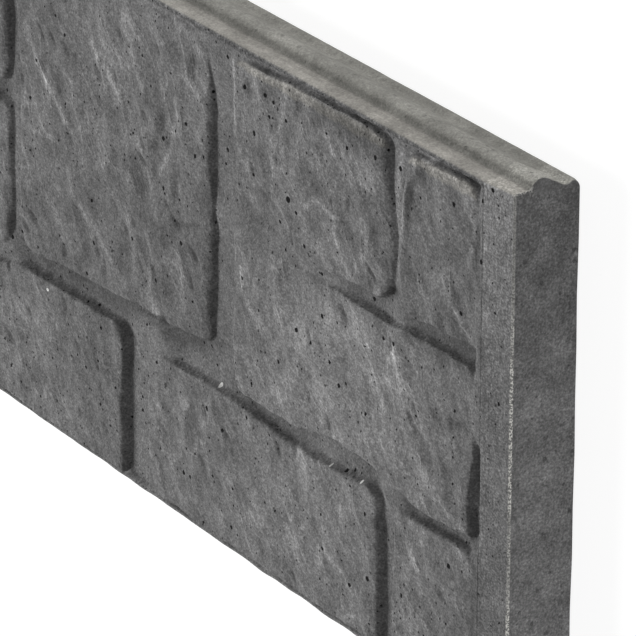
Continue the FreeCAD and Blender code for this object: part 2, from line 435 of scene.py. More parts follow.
class FrameFace:
    """What the scene reads from the solid: its levels and the tops of its stones."""

    def __init__(self, node: bpy.types.Object) -> None:
        """Read the flat faces that look up.

        Args:
            node: The solid's object in the frame.
        """
        self.low, self.high = (np.array(corner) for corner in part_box(NODE))
        weld = 1e-6
        upright = 0.99999
        solid = bmesh.new()
        solid.from_mesh(node.data)
        bmesh.ops.remove_doubles(solid, verts=solid.verts, dist=weld)
        solid.normal_update()
        flat = [face for face in solid.faces if face.normal.z > upright]
        levels = sorted({round(face.calc_center_median().z, 5) for face in flat})
        self.floor = levels[0]
        self.rim = levels[1]
        tops = {face for face in flat if face.calc_center_median().z > self.rim + MM}
        stones = [self.read_stone(patch) for patch in self.patches(tops)]
        self.stones = sorted(stones, key=lambda stone: tuple(stone.outline[0].round(5)))
        solid.free()

    @staticmethod
    def patches(faces: set[bmesh.types.BMFace]) -> list[list[bmesh.types.BMFace]]:
        """Sort faces into groups that hang together.

        Args:
            faces: The faces.

        Returns:
            The groups, in no fixed order.
        """
        left = set(faces)
        groups = []
        while left:
            group = [left.pop()]
            for face in group:
                near = {other for edge in face.edges for other in edge.link_faces} & left
                left -= near
                group.extend(near)
            groups.append(group)
        return groups

    @staticmethod
    def read_stone(patch: list[bmesh.types.BMFace]) -> StoneTop:
        """Read one stone's top.

        Args:
            patch: The faces that make it up.

        Returns:
            The top, with an outline that begins at its leftmost corner.
        """
        inside = set(patch)
        loops = [loop for face in patch for loop in face.loops]
        border = [loop for loop in loops if len(inside.intersection(loop.edge.link_faces)) == 1]
        following = {loop.vert: loop.link_loop_next.vert for loop in border}
        first = min(following, key=lambda corner: (round(corner.co.x, 5), round(corner.co.y, 5)))
        corners = [first]
        while following[corners[-1]] is not first:
            corners.append(following[corners[-1]])
        outline = np.array([(corner.co.x, corner.co.y) for corner in corners])
        return StoneTop(outline, float(first.co.z))


@dataclass(frozen=True)
class Brow:
    """How a stone falls to the joint on one of its sides.

    Attributes:
        inset: How far in from its edge a worn stone begins to round.
        reach: How far outside its edge it meets the floor of the joint.
        cove: How hollow the wall of a crisp stone is; 1 is straight.
        soft: How round the edge is at least, from 0 to 1.
    """

    inset: float
    reach: float
    cove: float
    soft: float = 0.0


@dataclass
class RockFace:
    """The front of the board: stones, joints, rims and end strips as heights over the back.

    The stones along the ledge are worn round; the others have crisp edges.

    Attributes:
        solid: The levels and stones read from the frame.
        ledge: Height of the ledge that the face ends at.
        strip_width: Width of the plain strip at each end.
        end_taper: How far a strip falls from the panel to the end.
        rim_width: Plain rim between the edges and the panel.
        nose: Radius of the ledge's front arris.
        lower_arris: Radius of the lower edge's front arris.
        end_arris: Radius of the arrises at the ends.
        right, left, upper, lower: How the stones fall on their four sides.
        worn_upper: How the worn stones fall towards the ledge.
        worn_from: Height across the board that the worn stones reach.
        worn, crisp: How round the edges of the worn and of the other stones are.
        softness: Where the stones' edges are rounder.
        under_shade_reach: How far under a stone painted shade darkens the floor of the joint.
        edge_waver: How the stones' edges stray.
        bites: Places where the stones' edges are drawn in or pushed out.
        slips: Places where the stones' edges are moved.
        swell: Broad undulation of the stones.
        scars: Sets of scars on the stones.
        dents: Short, sharp dents on the stones.
        spalls: Broken corners.
        hollows: Single hollows.
        veins: Single veins.
        floor_waver: Undulation of the floor of the joints.
        fills: Places where the joints are shallow.
        joint_reach: How far round a stone its joint is looked for.
        scar_margin: How far outside a stone's box its scars begin.
        swell_sink: How far the undulation is sunk, as a share of its depth.
        hewn_edge: How far outside a stone's edge its hewn look ends.
        rim_slope, rim_lead: Width of the slope between rim and panel, and how much of it lies in the panel.
    """

    solid: FrameFace
    ledge: float
    strip_width: float = 27 * MM
    end_taper: float = 2.5 * MM
    rim_width: float = 3.4 * MM
    nose: float = 3 * MM
    lower_arris: float = 2 * MM
    end_arris: float = 0.8 * MM
    right: Brow = Brow(7 * MM, 3.2 * MM, 1.0, 0.6)
    left: Brow = Brow(2 * MM, 5 * MM, 1.0)
    upper: Brow = Brow(2.5 * MM, 4.5 * MM, 2.2)
    lower: Brow = Brow(0.8 * MM, 2.6 * MM, 1.0)
    worn_upper: Brow = Brow(2.5 * MM, 3.0 * MM, 1.0)
    worn_from: float = 120 * MM
    worn: float = 0.85
    crisp: float = 0.12
    softness: Layer = Layer(55 * MM, 0.25, 2.3)
    under_shade_reach: float = 16 * MM
    edge_waver: tuple[Layer, ...] = (
        Layer(34 * MM, 1.1 * MM, 3.1),
        Layer(11 * MM, 0.6 * MM, 5.7),
    )
    bites: tuple[Bite, ...] = (
        Bite(800, 95, 30, -5),
        Bite(797, 156, 20, 4),
        Bite(801, 58, 9, 4),
        Bite(604, 35, 8, -2.5),
        Bite(888, -42, 26, 8),
    )
    slips: tuple[Slip, ...] = (
        Slip(335, 20, 32, 125, 6, -11),
        Slip(760, 164, 140, 9, 0, 2.5),
        Slip(786, -125, 12, 55, 3, 0),
        Slip(705, -71, 50, 8, 0, -3.5),
        Slip(880, -52, 26, 16, 0, -10),
        Slip(868, -74, 24, 8, 0, 3),
        Slip(790, 66, 16, 13, 0, -4),
        Slip(757, -56, 34, 10, 0, 4),
        Slip(846, -52, 32, 14, 0, -10),
        Slip(668, -53, 40, 12, 0, -5),
        Slip(735, 74, 45, 17, 0, -9),
    )
    swell: tuple[Layer, ...] = (
        Layer(80 * MM, 0.7 * MM, 11.3, run=120, stretch=1.5),
        Layer(6 * MM, 0.12 * MM, 29.7, run=115, stretch=1.8),
    )
    scars: tuple[Scars, ...] = (
        Scars(520 * MM * MM, 34 * MM, 12 * MM, 1.5 * MM),
        Scars(150 * MM * MM, 11 * MM, 4 * MM, 0.4 * MM, stray=40.0),
    )
    dents: Scars = Scars(1300 * MM * MM, 7 * MM, 2.4 * MM, 0.8 * MM, stray=30.0)
    spalls: tuple[Spall, ...] = (
        Spall(690, 78, 222, 0.2, 60),
        Spall(728, -49, 262, 0.3, 32),
    )
    hollows: tuple[Hollow, ...] = (
        Hollow(584, 142, 6, 3, 1.2, run=60),
        Hollow(549, 93, 9, 4, 1.2, run=70),
        Hollow(540, 74, 7, 2.5, 0.8, run=60),
        Hollow(564, 54, 9, 3, 1, run=75),
        Hollow(521, 40, 12, 7, 1.1),
        Hollow(424, 77, 8, 5, 0.8),
        Hollow(545, -47, 5, 3, 1.6, run=30),
        Hollow(540, -24, 8, 3, 0.8),
        Hollow(671, 83, 10, 4, 1, run=160),
        Hollow(767, 158, 22, 9, 1, run=170),
        Hollow(781, 66, 5, 3, 1.2),
        Hollow(800, 68, 5, 3, 1.2, run=40),
        Hollow(828, 154, 9, 3, 1.3, run=50),
        Hollow(820, 135, 15, 3, 1.3, run=86),
        Hollow(869, 92, 6, 3, 0.9, run=130),
        Hollow(872, 9, 4, 2.5, 1.1, run=30),
        Hollow(580, -105, 14, 6, 0.9, run=80),
        Hollow(578, 31, 16, 1.5, 1, run=20),
        Hollow(888, 134, 15, 2.5, 1.3, run=90),
        Hollow(704, 155, 6, 4, 1.1),
        Hollow(726, 154, 7, 4, 1.1),
        Hollow(650, 148, 7, 5, 0.8),
        Hollow(670, 152, 6, 4, 0.8),
    )
    veins: tuple[Vein, ...] = (
        Vein(((384, 106), (388, 95), (397, 86), (410, 72), (430, 55), (438, 48)), 2.4),
        Vein(((378, 66), (381, 52), (388, 44))),
        Vein(((465, 118), (475, 108), (492, 98), (507, 86), (516, 74), (527, 60)), 2.6),
        Vein(((503, 150), (508, 140), (515, 125), (527, 106)), 2.4),
        Vein(((565, 112), (565, 100), (561, 85), (556, 72), (545, 55))),
        Vein(((438, 20), (440, 2), (455, -5), (472, -17), (490, -30), (501, -38)), 2.8),
        Vein(((529, 8), (533, -5), (534, -20), (529, -34), (541, -46)), 2.4),
        Vein(((441, 86), (447, 70), (450, 55)), 2.4),
        Vein(((632, 165), (633, 150), (634, 130), (634, 115))),
        Vein(((691, 157), (685, 140), (678, 125), (675, 110), (675, 90))),
        Vein(((624, 112), (632, 100), (646, 96), (654, 90), (686, 81), (693, 70), (697, 58), (712, 51))),
        Vein(((640, 99), (648, 94), (653, 88)), 4),
        Vein(((713, 92), (718, 98), (727, 101), (744, 96), (744, 84), (749, 74), (760, 64))),
        Vein(((735, 162), (737, 147), (741, 138))),
        Vein(((776, 110), (780, 100), (777, 86), (767, 72))),
        Vein(((770, 136), (769, 131), (779, 127))),
        Vein(((808, 160), (806, 144), (804, 130), (804, 108), (807, 84)), 3.2),
        Vein(((813, 108), (814, 135), (818, 150), (826, 161), (839, 167)), 2.6),
        Vein(((824, 98), (831, 82), (840, 70), (846, 60))),
        Vein(((866, 82), (878, 70), (888, 62))),
        Vein(((882, 146), (884, 130), (880, 117))),
        Vein(((777, 32), (783, 15), (788, 0), (794, -11)), 2.4),
        Vein(((805, 35), (809, 22), (816, 11))),
        Vein(((838, -33), (850, -45), (862, -52), (876, -58)), 2.4),
        Vein(((638, 26), (642, 12), (648, 3), (659, -6))),
        Vein(((723, -124), (733, -135), (750, -140), (761, -151)), 2.4),
        Vein(((746, -95), (750, -112)), 2.8),
        Vein(((815, -80), (825, -92), (832, -105), (836, -117)), 2.4),
    )
    floor_waver: tuple[Layer, ...] = (
        Layer(45 * MM, 0.5 * MM, 31.1),
        Layer(9 * MM, 0.12 * MM, 37.3),
    )
    fills: tuple[JointFill, ...] = (
        JointFill(620, 175, 32, 40, 6.4),
        JointFill(364, 0, 12, 75, 3),
        JointFill(815, 56, 75, 10, 1.5),
        JointFill(745, 171, 120, 8, 2.2),
        JointFill(890, -80, 10, 16, 7),
        JointFill(722, 57, 33, 10, 4.5),
        JointFill(672, 50, 56, 16, 6.5),
        JointFill(440, 170, 170, 9, 6),
        JointFill(530, -64, 26, 14, 5.5),
        JointFill(340, -64, 26, 14, 5.5),
        JointFill(804, -64, 16, 14, 6),
        JointFill(808, 115, 16, 62, 3.5),
        JointFill(892, 100, 8, 90, 7),
        JointFill(892, -140, 9, 68, 7),
        JointFill(892, 22, 9, 20, 6.5),
    )
    joint_reach: float = 30 * MM
    scar_margin: float = 8 * MM
    swell_sink: float = 0.4
    hewn_edge: float = 2 * MM
    rim_slope: float = 2 * MM
    rim_lead: float = 1.6 * MM

    def rim_level(self, x: np.ndarray) -> np.ndarray:
        """Return the level of the rim and the strips along the board."""
        past = np.abs(x) - (self.solid.high[0] - self.strip_width)
        return self.solid.rim - self.end_taper * np.clip(past / self.strip_width, 0.0, 1.0)

    def nearest_edge(self, points: np.ndarray) -> np.ndarray:
        """Measure how far points are from the nearest stone's edge.

        Args:
            points: Rows of X and Y.

        Returns:
            One distance for each row, negative on the stone.
        """
        nearest = np.full(len(points), self.joint_reach)
        for stone in self.solid.stones:
            low, high = stone.box(self.joint_reach)
            near = np.nonzero(((points > low) & (points < high)).all(axis=1))[0]
            gap, _ = stone.distance(points[near] - self.slip(points[near]))
            nearest[near] = np.minimum(nearest[near], gap)
        return nearest + self.waver(points)

    def slip(self, points: np.ndarray) -> np.ndarray:
        """Return how far the stones' outlines are moved at each point, as rows of X and Y."""
        return sum(slip.at(points) for slip in self.slips)

    def slipped(self, places: np.ndarray) -> np.ndarray:
        """Find where places on the solid's outlines come to lie.

        Args:
            places: Rows of X and Y.

        Returns:
            The moved rows.
        """
        rounds = 4
        moved = places
        for _ in range(rounds):
            moved = places + self.slip(moved)
        return moved

    def waver(self, points: np.ndarray) -> np.ndarray:
        """Return how far the stones' outlines are drawn in at each point."""
        strayed = sum(layer.at(points) for layer in self.edge_waver)
        return strayed + sum(bite.at(points) for bite in self.bites)

    def arris_drop(self, edge: np.ndarray, radius: float) -> np.ndarray:
        """Return how far a rounded arris has fallen, a given distance from the edge."""
        inset = np.clip(radius - edge, 0.0, radius)
        return radius - np.sqrt(radius * radius - inset * inset)

    def floor_heights(self, points: np.ndarray) -> np.ndarray:
        """Return the height of the joints' floor at each point."""
        floor = self.solid.floor + sum(layer.at(points) for layer in self.floor_waver)
        return np.minimum(floor + sum(fill.at(points) for fill in self.fills), self.solid.rim)

    def hewn_top(self, number: int, points: np.ndarray) -> tuple[np.ndarray, np.ndarray, np.ndarray]:
        """Return the hewn surface of one stone before it falls to its joints.

        Args:
            number: The stone's number.
            points: Rows of X and Y.

        Returns:
            Heights over the back, shares of ridge between scars, and depths of dents from 0 to about 1.
        """
        stone = self.solid.stones[number]
        low, high = stone.box(self.scar_margin)
        top = np.full(len(points), stone.level)
        ridges = np.zeros(len(points))
        for layer in self.swell:
            top += layer.at(points) - self.swell_sink * layer.depth
        for order, scars in enumerate(self.scars):
            depth, ridge = scars.cut(low, high, points, 100 * number + order)
            top -= depth
            ridges = np.maximum(ridges, ridge * scars.depth / self.scars[0].depth)
        for spall in self.spalls:
            if spall.is_on(stone):
                top -= spall.at(points)
        dent, _ = self.dents.cut(low, high, points, 100 * number + len(self.scars))
        top = np.minimum(top, self.solid.high[2]) - dent
        return top, ridges, dent / self.dents.depth

    def fall(
        self, upper: Brow, gap: np.ndarray, outward: np.ndarray, depth: np.ndarray, softness: np.ndarray,
    ) -> np.ndarray:
        """Return how far a stone has fallen towards the joint round it.

        Args:
            upper: How it falls on its upper side.
            gap: Distances from its edge, negative on the stone.
            outward: Rows of directions away from the edge.
            depth: Heights of the stone's top over the floor of the joint.
            softness: How round the edge is, from 0 to 1.

        Returns:
            The falls in metres.
        """
        squares = outward * outward
        plus = squares * (outward > 0.0)
        minus = squares - plus
        sides = (plus[:, 0], minus[:, 0], plus[:, 1], minus[:, 1])
        shares = list(zip(sides, (self.right, self.left, upper, self.lower)))
        inset = sum(share * brow.inset for share, brow in shares)
        reach = sum(share * brow.reach for share, brow in shares)
        cove = sum(share * brow.cove for share, brow in shares)
        softness = np.maximum(softness, sum(share * brow.soft for share, brow in shares))
        rounded = np.clip((gap + inset) / (inset + reach), 0.0, 1.0)
        sunk = np.clip(gap / reach, 0.0, 1.0)
        round_fall = 1.0 - np.sqrt(1.0 - rounded * rounded)
        crisp_fall = 1.0 - (1.0 - sunk) ** cove
        return depth * (softness * round_fall + (1.0 - softness) * crisp_fall)

    def heights(self, points: np.ndarray) -> tuple[np.ndarray, dict[Mark, np.ndarray]]:
        """Return the face's height at each point, and the values for the finish there.

        Args:
            points: Rows of X and Y.

        Returns:
            Heights over the back, and for each mark the shares of it.
        """
        floor = self.floor_heights(points)
        height = floor.copy()
        marks = {mark: np.zeros(len(points)) for mark in Mark}
        drawn_in = self.waver(points)
        settled = points - self.slip(points)
        softness = self.softness.at(points)
        for number, stone in enumerate(self.solid.stones):
            low, high = stone.box(self.joint_reach)
            near = np.nonzero(((points > low) & (points < high)).all(axis=1))[0]
            gap, outward = stone.distance(settled[near])
            gap = gap + drawn_in[near]
            top, ridge, dent = self.hewn_top(number, points[near])
            depth = np.maximum(top - floor[near], 0.0)
            is_worn = stone.outline[:, 1].max() > self.worn_from
            upper = self.worn_upper if is_worn else self.upper
            roundness = np.clip(softness[near] + (self.worn if is_worn else self.crisp), 0.0, 1.0)
            surface = top - self.fall(upper, gap, outward, depth, roundness)
            above = surface > height[near]
            # Painted shade on the floor of the joint just under the stone's lower edge, darker where the
            # joint is deeper.
            under = np.exp(-((gap / self.under_shade_reach) ** 4)) * np.maximum(-outward[:, 1], 0.0)
            under *= ease(gap / MM) * depth / (stone.level - self.solid.floor)
            marks[Mark.UNDER_SHADE][near] = np.maximum(marks[Mark.UNDER_SHADE][near], under)
            share = 1.0 - ease(gap / self.hewn_edge)
            height[near] = np.where(above, surface, height[near])
            looks = {Mark.RIDGE: ridge * share, Mark.DENT: dent * share, Mark.HEWN: share}
            for mark, values in looks.items():
                marks[mark][near] = np.where(above, values, marks[mark][near])
        for hollow in self.hollows:
            share = hollow.at(points)
            height -= hollow.depth * MM * share
            marks[Mark.DENT] = np.maximum(marks[Mark.DENT], share * hollow.depth)
        for vein in self.veins:
            marks[Mark.VEIN] = np.maximum(marks[Mark.VEIN], vein.at(points))
        border = self.border(points)
        height = height * (1.0 - border) + self.rim_level(points[:, 0]) * border - self.rounding(points)
        return height, {mark: values * (1.0 - border) for mark, values in marks.items()}

    def border(self, points: np.ndarray) -> np.ndarray:
        """Tell the rims and strips from the panel between them.

        Args:
            points: Rows of X and Y.

        Returns:
            1 on the rims and strips, 0 on the panel and a short slope between them.
        """
        to_strip = np.abs(points[:, 0]) - (self.solid.high[0] - self.strip_width)
        to_ledge = points[:, 1] - (self.ledge - self.rim_width)
        to_foot = (self.solid.low[1] + self.rim_width) - points[:, 1]
        beyond = np.maximum(np.maximum(to_strip, to_ledge), to_foot)
        return ease((beyond + self.rim_lead) / self.rim_slope)

    def rounding(self, points: np.ndarray) -> np.ndarray:
        """Measure how far the rounded arrises round the face have fallen.

        Args:
            points: Rows of X and Y.

        Returns:
            One distance for each row.
        """
        drop = self.arris_drop(self.ledge - points[:, 1], self.nose)
        drop = np.maximum(drop, self.arris_drop(points[:, 1] - self.solid.low[1], self.lower_arris))
        return np.maximum(drop, self.arris_drop(self.solid.high[0] - np.abs(points[:, 0]), self.end_arris))


@dataclass
class StackingSection:
    """The section of the board's long edges and back, from the ledge round to the lower edge.

    Attributes:
        low, high: Height of the lower edge and of the tongue's crest.
        tongue_front, tongue_back: Distance of the tongue's two feet from the back.
        tongue_rise: Tongue above the ledge.
        front_slope, back_slope: Slope of the tongue's flanks in degrees.
        shoulder_drop: How far the edge behind the tongue lies under the ledge.
        quirk_centre, quirk_width, quirk_depth: Hollow behind the tongue.
        back_radius: Rounded arrises of the back.
        clearance: Play round a tongue in the groove.
        crest_steps, quirk_steps, arris_steps: How many chords the rounded crest, hollow and arrises have.
        ledge_rows, foot_rows: Where rows of points run along the ledge and the lower edge, over the back.
        back_rows: How many rows of points run along the back.
    """

    low: float
    high: float
    tongue_front: float = 36.5 * MM
    tongue_back: float = 16 * MM
    tongue_rise: float = 6 * MM
    front_slope: float = 60.0
    back_slope: float = 30.0
    shoulder_drop: float = 1 * MM
    quirk_centre: float = 10.5 * MM
    quirk_width: float = 7.5 * MM
    quirk_depth: float = 1.4 * MM
    back_radius: float = 5 * MM
    clearance: float = 1 * MM
    crest_steps: int = 12
    quirk_steps: int = 8
    arris_steps: int = 5
    ledge_rows: tuple[float, ...] = (44 * MM, 41 * MM, 38.5 * MM)
    foot_rows: tuple[float, ...] = (40 * MM, 44 * MM)
    back_rows: int = 9

    @property
    def ledge(self) -> float:
        """Return the height of the ledge in front of the tongue."""
        return self.high - self.tongue_rise

    def tongue(self, foot: float, spread: float) -> list[tuple[float, float]]:
        """Return the tongue's outline, from its front foot over its crest to its back foot.

        Args:
            foot: Height of its feet.
            spread: How much wider and higher it is than the tongue, for the groove.

        Returns:
            Pairs of Y and Z.
        """
        front = self.tongue_front + spread
        back = self.tongue_back - spread
        rise = self.tongue_rise + spread
        sine_front = math.sin(math.radians(self.front_slope))
        cosine_front = math.cos(math.radians(self.front_slope))
        sine_back = math.sin(math.radians(self.back_slope))
        cosine_back = math.cos(math.radians(self.back_slope))
        width = front - back - rise * (cosine_front / sine_front + cosine_back / sine_back)
        radius = width / ((1 - cosine_front) / sine_front + (1 - cosine_back) / sine_back)
        centre = back + (radius + (rise - radius) * cosine_back) / sine_back
        outline = [(foot, front)]
        for step in range(self.crest_steps + 1):
            turn = self.front_slope - (self.front_slope + self.back_slope) * step / self.crest_steps
            angle = math.radians(turn)
            y = foot + rise - radius + radius * math.cos(angle)
            outline.append((y, centre + radius * math.sin(angle)))
        outline.append((foot, back))
        return outline

    def quirk(self) -> list[tuple[float, float]]:
        """Draw the hollow behind the tongue and the shoulder, from the tongue's back foot.

        Returns:
            Pairs of Y and Z.
        """
        level = self.ledge - self.shoulder_drop
        outline = []
        for step in range(self.quirk_steps + 1):
            share = 2.0 * step / self.quirk_steps - 1.0
            sag = self.quirk_depth * (1.0 - share * share)
            outline.append((level - sag, self.quirk_centre - share * self.quirk_width / 2))
        return outline

    def arris(self, y: float) -> list[tuple[float, float]]:
        """Draw the upper rounded arris of the back.

        Args:
            y: Height of its centre.

        Returns:
            Pairs of Y and Z along a quarter circle.
        """
        radius = self.back_radius
        outline = []
        for step in range(self.arris_steps + 1):
            turn = math.radians(90.0 * step / self.arris_steps)
            depth = radius + radius * math.sin(turn)
            outline.append((y + radius * math.cos(turn), 2 * radius - depth))
        return outline

    def rows(self) -> list[tuple[float, float]]:
        """Draw the outline from the ledge's front to the front of the lower edge.

        Returns:
            Pairs of Y and Z.
        """
        top = self.ledge - self.shoulder_drop - self.back_radius
        bottom = self.low + self.back_radius
        outline = [(self.ledge, z) for z in self.ledge_rows]
        outline += self.tongue(self.ledge, 0.0)
        outline += self.quirk()
        outline += self.arris(top)
        for row in range(self.back_rows):
            outline.append((top + (bottom - top) * (row + 1) / (self.back_rows + 1), 0.0))
        outline += [(2 * bottom - y, z) for y, z in reversed(self.arris(bottom))]
        outline += reversed(self.tongue(self.low, self.clearance))
        outline += [(self.low, z) for z in self.foot_rows]
        return outline


class BoardSkin:
    """Vertices and faces of the board's closed surface while it is being put together."""

    def __init__(self) -> None:
        """Start with nothing."""
        self.points: list[tuple[float, float, float]] = []
        self.faces: list[tuple[int, ...]] = []

    def add(self, points: np.ndarray) -> np.ndarray:
        """Add points and return their numbers."""
        first = len(self.points)
        self.points.extend(map(tuple, points.tolist()))
        return np.arange(first, len(self.points))

    def join(self, one: np.ndarray, other: np.ndarray) -> None:
        """Add a strip of faces between two rows of points."""
        for a, b, c, d in zip(one[:-1], one[1:], other[1:], other[:-1]):
            self.faces.append((int(a), int(b), int(c), int(d)))

    def fill(self, flat: np.ndarray, numbers: np.ndarray, rim: int = 0, mirrored: bool = False) -> None:
        """Triangulate points seen flat.

        Args:
            flat: Rows of two coordinates.
            numbers: The points' numbers, row by row.
            rim: How many of the first points bound the surface; with none, it reaches as far as the points.
            mirrored: Whether the faces look the other way.
        """
        rims = [list(range(rim))] if rim else []
        result = delaunay_2d_cdt([Vector(row) for row in flat.tolist()], [], rims, int(rim > 0), WELD)
        origin = [source[0] for source in result[3]]
        for face in result[2]:
            corners = [int(numbers[origin[corner]]) for corner in face]
            self.faces.append(tuple(reversed(corners)) if mirrored else tuple(corners))


@dataclass
class GravelBoard:
    """The cast board as one closed piece.

    Attributes:
        solid: The levels and stones read from the frame.
        seen_from: Where along the board the finely meshed part begins.
        fine, coarse: Spacing of the points in the fine part and elsewhere.
        fine_column, coarse_column: Spacing of the points along the edges.
        rings: Where rings of points run along each stone's outline.
        ring_spacing: Spacing along the rings as shares of the fine and the coarse spacing.
        inner_gap, outer_gap: How far the grid keeps off the rings, as shares of its spacing.
        upper_rows, lower_rows: Where rows of points run along the face's long edges, in millimetres.
        least_gap: Spacing under which points are thinned out.
        border: How far the last points of the face stay from its edges.
        keep_off: How far other points keep off those.
        arris_middle: Where a row of points divides the arrises at the ends.
        patina: How the edges, the ends and the back are roughened.
        foot_waver: How the front of the lower edge strays, always inwards.
        back_waver: How the back arris of the right end strays, always inwards.
    """

    solid: FrameFace
    seen_from: float = 330 * MM
    fine: float = 2.35 * MM
    coarse: float = 6.5 * MM
    fine_column: float = 4 * MM
    coarse_column: float = 14 * MM
    rings: tuple[float, ...] = tuple(
        offset * MM for offset in (-4.0, -1.6, -0.3, 0.5, 1.2, 2.0, 2.8, 3.4, 4.4, 5.2)
    )
    ring_spacing: tuple[float, float] = (0.95, 0.8)
    inner_gap: float = 0.5
    outer_gap: float = 0.4
    upper_rows: tuple[float, ...] = (0.4, 0.8, 1.3, 2.0, 2.8, 3.6)
    lower_rows: tuple[float, ...] = (0.5, 1.2, 2.2)
    least_gap: float = 0.55 * MM
    border: float = 0.25 * MM
    keep_off: float = 0.1 * MM
    arris_middle: float = 0.55
    patina: tuple[Layer, ...] = (
        Layer(40 * MM, 0.1 * MM, 41.0),
        Layer(9 * MM, 0.09 * MM, 43.0),
    )
    foot_waver: Layer = Layer(24 * MM, 0.8 * MM, 47.0)
    back_waver: Layer = Layer(7 * MM, 0.9 * MM, 53.0)
    section: StackingSection = field(init=False)
    face: RockFace = field(init=False)

    def __post_init__(self) -> None:
        """Work out the section and the face from the frame."""
        self.section = StackingSection(self.solid.low[1], self.solid.high[1])
        self.face = RockFace(self.solid, self.section.ledge)

    def columns(self) -> np.ndarray:
        """Find the places along the board where its edges have points.

        Returns:
            Values of X.
        """
        half = self.solid.high[0]
        last = half - self.border
        ends = half - self.face.end_arris * np.array([1.0, self.arris_middle])
        fine_count = round((ends[0] - self.seen_from) / self.fine_column)
        coarse_count = round((self.seen_from + ends[0]) / self.coarse_column)
        fine = np.linspace(self.seen_from, ends[0], fine_count + 1)
        coarse = np.linspace(-ends[0], self.seen_from, coarse_count + 1)
        return np.concatenate(([-last, -ends[1]], coarse[:-1], fine, [ends[1], last]))

    def face_points(self, low: np.ndarray, high: np.ndarray) -> np.ndarray:
        """Return the points inside the face's border: rings along the stones, edge rows and a filling grid.

        Args:
            low: Lowest corner of the border.
            high: Highest corner of the border.

        Returns:
            Rows of X and Y.
        """
        groups = []
        for stone in self.solid.stones:
            seen = stone.outline[:, 0].max() > self.seen_from
            fine, coarse = self.ring_spacing
            places, outward = stone.ring(self.fine * fine if seen else self.coarse * coarse)
            offsets = self.rings if seen else self.rings[1::2]
            places = self.face.slipped(places)
            shift = self.face.waver(places)
            for offset in offsets:
                groups.append(places + outward * (offset - shift)[:, None])
        columns = self.columns()
        for inset in self.upper_rows:
            groups.append(np.stack((columns, np.full(len(columns), high[1] - inset * MM)), axis=1))
        for inset in self.lower_rows:
            groups.append(np.stack((columns, np.full(len(columns), low[1] + inset * MM)), axis=1))
        groups.append(self.grid(low[0], self.seen_from, low[1], high[1], self.coarse))
        groups.append(self.grid(self.seen_from, high[0], low[1], high[1], self.fine))
        points = np.concatenate(groups)
        inside = ((points > low + self.keep_off) & (points < high - self.keep_off)).all(axis=1)
        return self.thin(points[inside])

    def grid(self, start: float, end: float, low: float, high: float, spacing: float) -> np.ndarray:
        """Lay a triangular grid of points that keeps off the rings along the stones.

        Args:
            start, end: Where the grid begins and ends along the board.
            low, high: Where it begins and ends across the board.
            spacing: Distance between two points.

        Returns:
            Rows of X and Y.
        """
        rows = np.arange(low, high, spacing * math.sqrt(3) / 2)
        columns = np.arange(start, end, spacing)
        x, y = np.meshgrid(columns, rows)
        x = x + (np.arange(len(rows)) % 2 * spacing / 2)[:, None]
        points = np.stack((x.ravel(), y.ravel()), axis=1)
        gap = self.face.nearest_edge(points)
        on_stone = gap < self.rings[0] - spacing * self.inner_gap
        in_joint = gap > self.rings[-1] + spacing * self.outer_gap
        return points[on_stone | in_joint]

    def thin(self, points: np.ndarray) -> np.ndarray:
        """Drop points that nearly coincide with an earlier one.

        Args:
            points: Rows of X and Y.

        Returns:
            The rows that are left, in their order.
        """
        stride = 1_000_003
        keys = np.floor(points / self.least_gap).astype(np.int64)
        _, first = np.unique(keys[:, 0] * stride + keys[:, 1], return_index=True)
        return points[np.sort(first)]

    def build(self) -> bpy.types.Object:
        """Build the board as one closed mesh.

        Returns:
            The board's object.
        """
        skin = BoardSkin()
        low = np.array([self.solid.low[0] + self.border, self.solid.low[1] + self.border])
        high = np.array([self.solid.high[0] - self.border, self.section.ledge - self.border])
        columns = self.columns()
        rise_count = round((high[1] - low[1]) / self.fine_column)
        levels = np.linspace(low[1], high[1], rise_count + 1)[1:-1]
        upper = np.stack((columns, np.full(len(columns), high[1])), axis=1)
        lower = np.stack((columns, np.full(len(columns), low[1])), axis=1)
        left = np.stack((np.full(len(levels), low[0]), levels), axis=1)
        right = np.stack((np.full(len(levels), high[0]), levels), axis=1)
        flat = np.concatenate((upper, lower, left, right, self.face_points(low, high)))
        heights, marks = self.face.heights(flat)
        numbers = skin.add(np.column_stack((flat, heights)))
        skin.fill(flat, numbers)
        face_count = len(numbers)
        upper_row = numbers[:len(columns)]
        lower_row = numbers[len(columns):2 * len(columns)]
        left_row = numbers[2 * len(columns):2 * len(columns) + len(levels)]
        right_row = numbers[2 * len(columns) + len(levels):2 * len(columns) + 2 * len(levels)]
        rows = self.wrap(skin, columns, upper_row, lower_row)
        right_loop = [row[-1] for row in rows[:-1]]
        left_loop = [row[0] for row in rows[:-1]]
        self.close_end(skin, np.concatenate((lower_row[-1:], right_row, right_loop)), 1)
        self.close_end(skin, np.concatenate((lower_row[:1], left_row, left_loop)), -1)
        mesh = bpy.data.meshes.new(NODE + "_cast")
        mesh.from_pydata(skin.points, [], skin.faces)
        mesh.polygons.foreach_set("use_smooth", [True] * len(mesh.polygons))
        mesh.update()
        self.weather(mesh, face_count)
        self.mark(mesh, marks)
        board = bpy.data.objects.new(NODE + "_cast", mesh)
        bpy.context.scene.collection.objects.link(board)
        return board

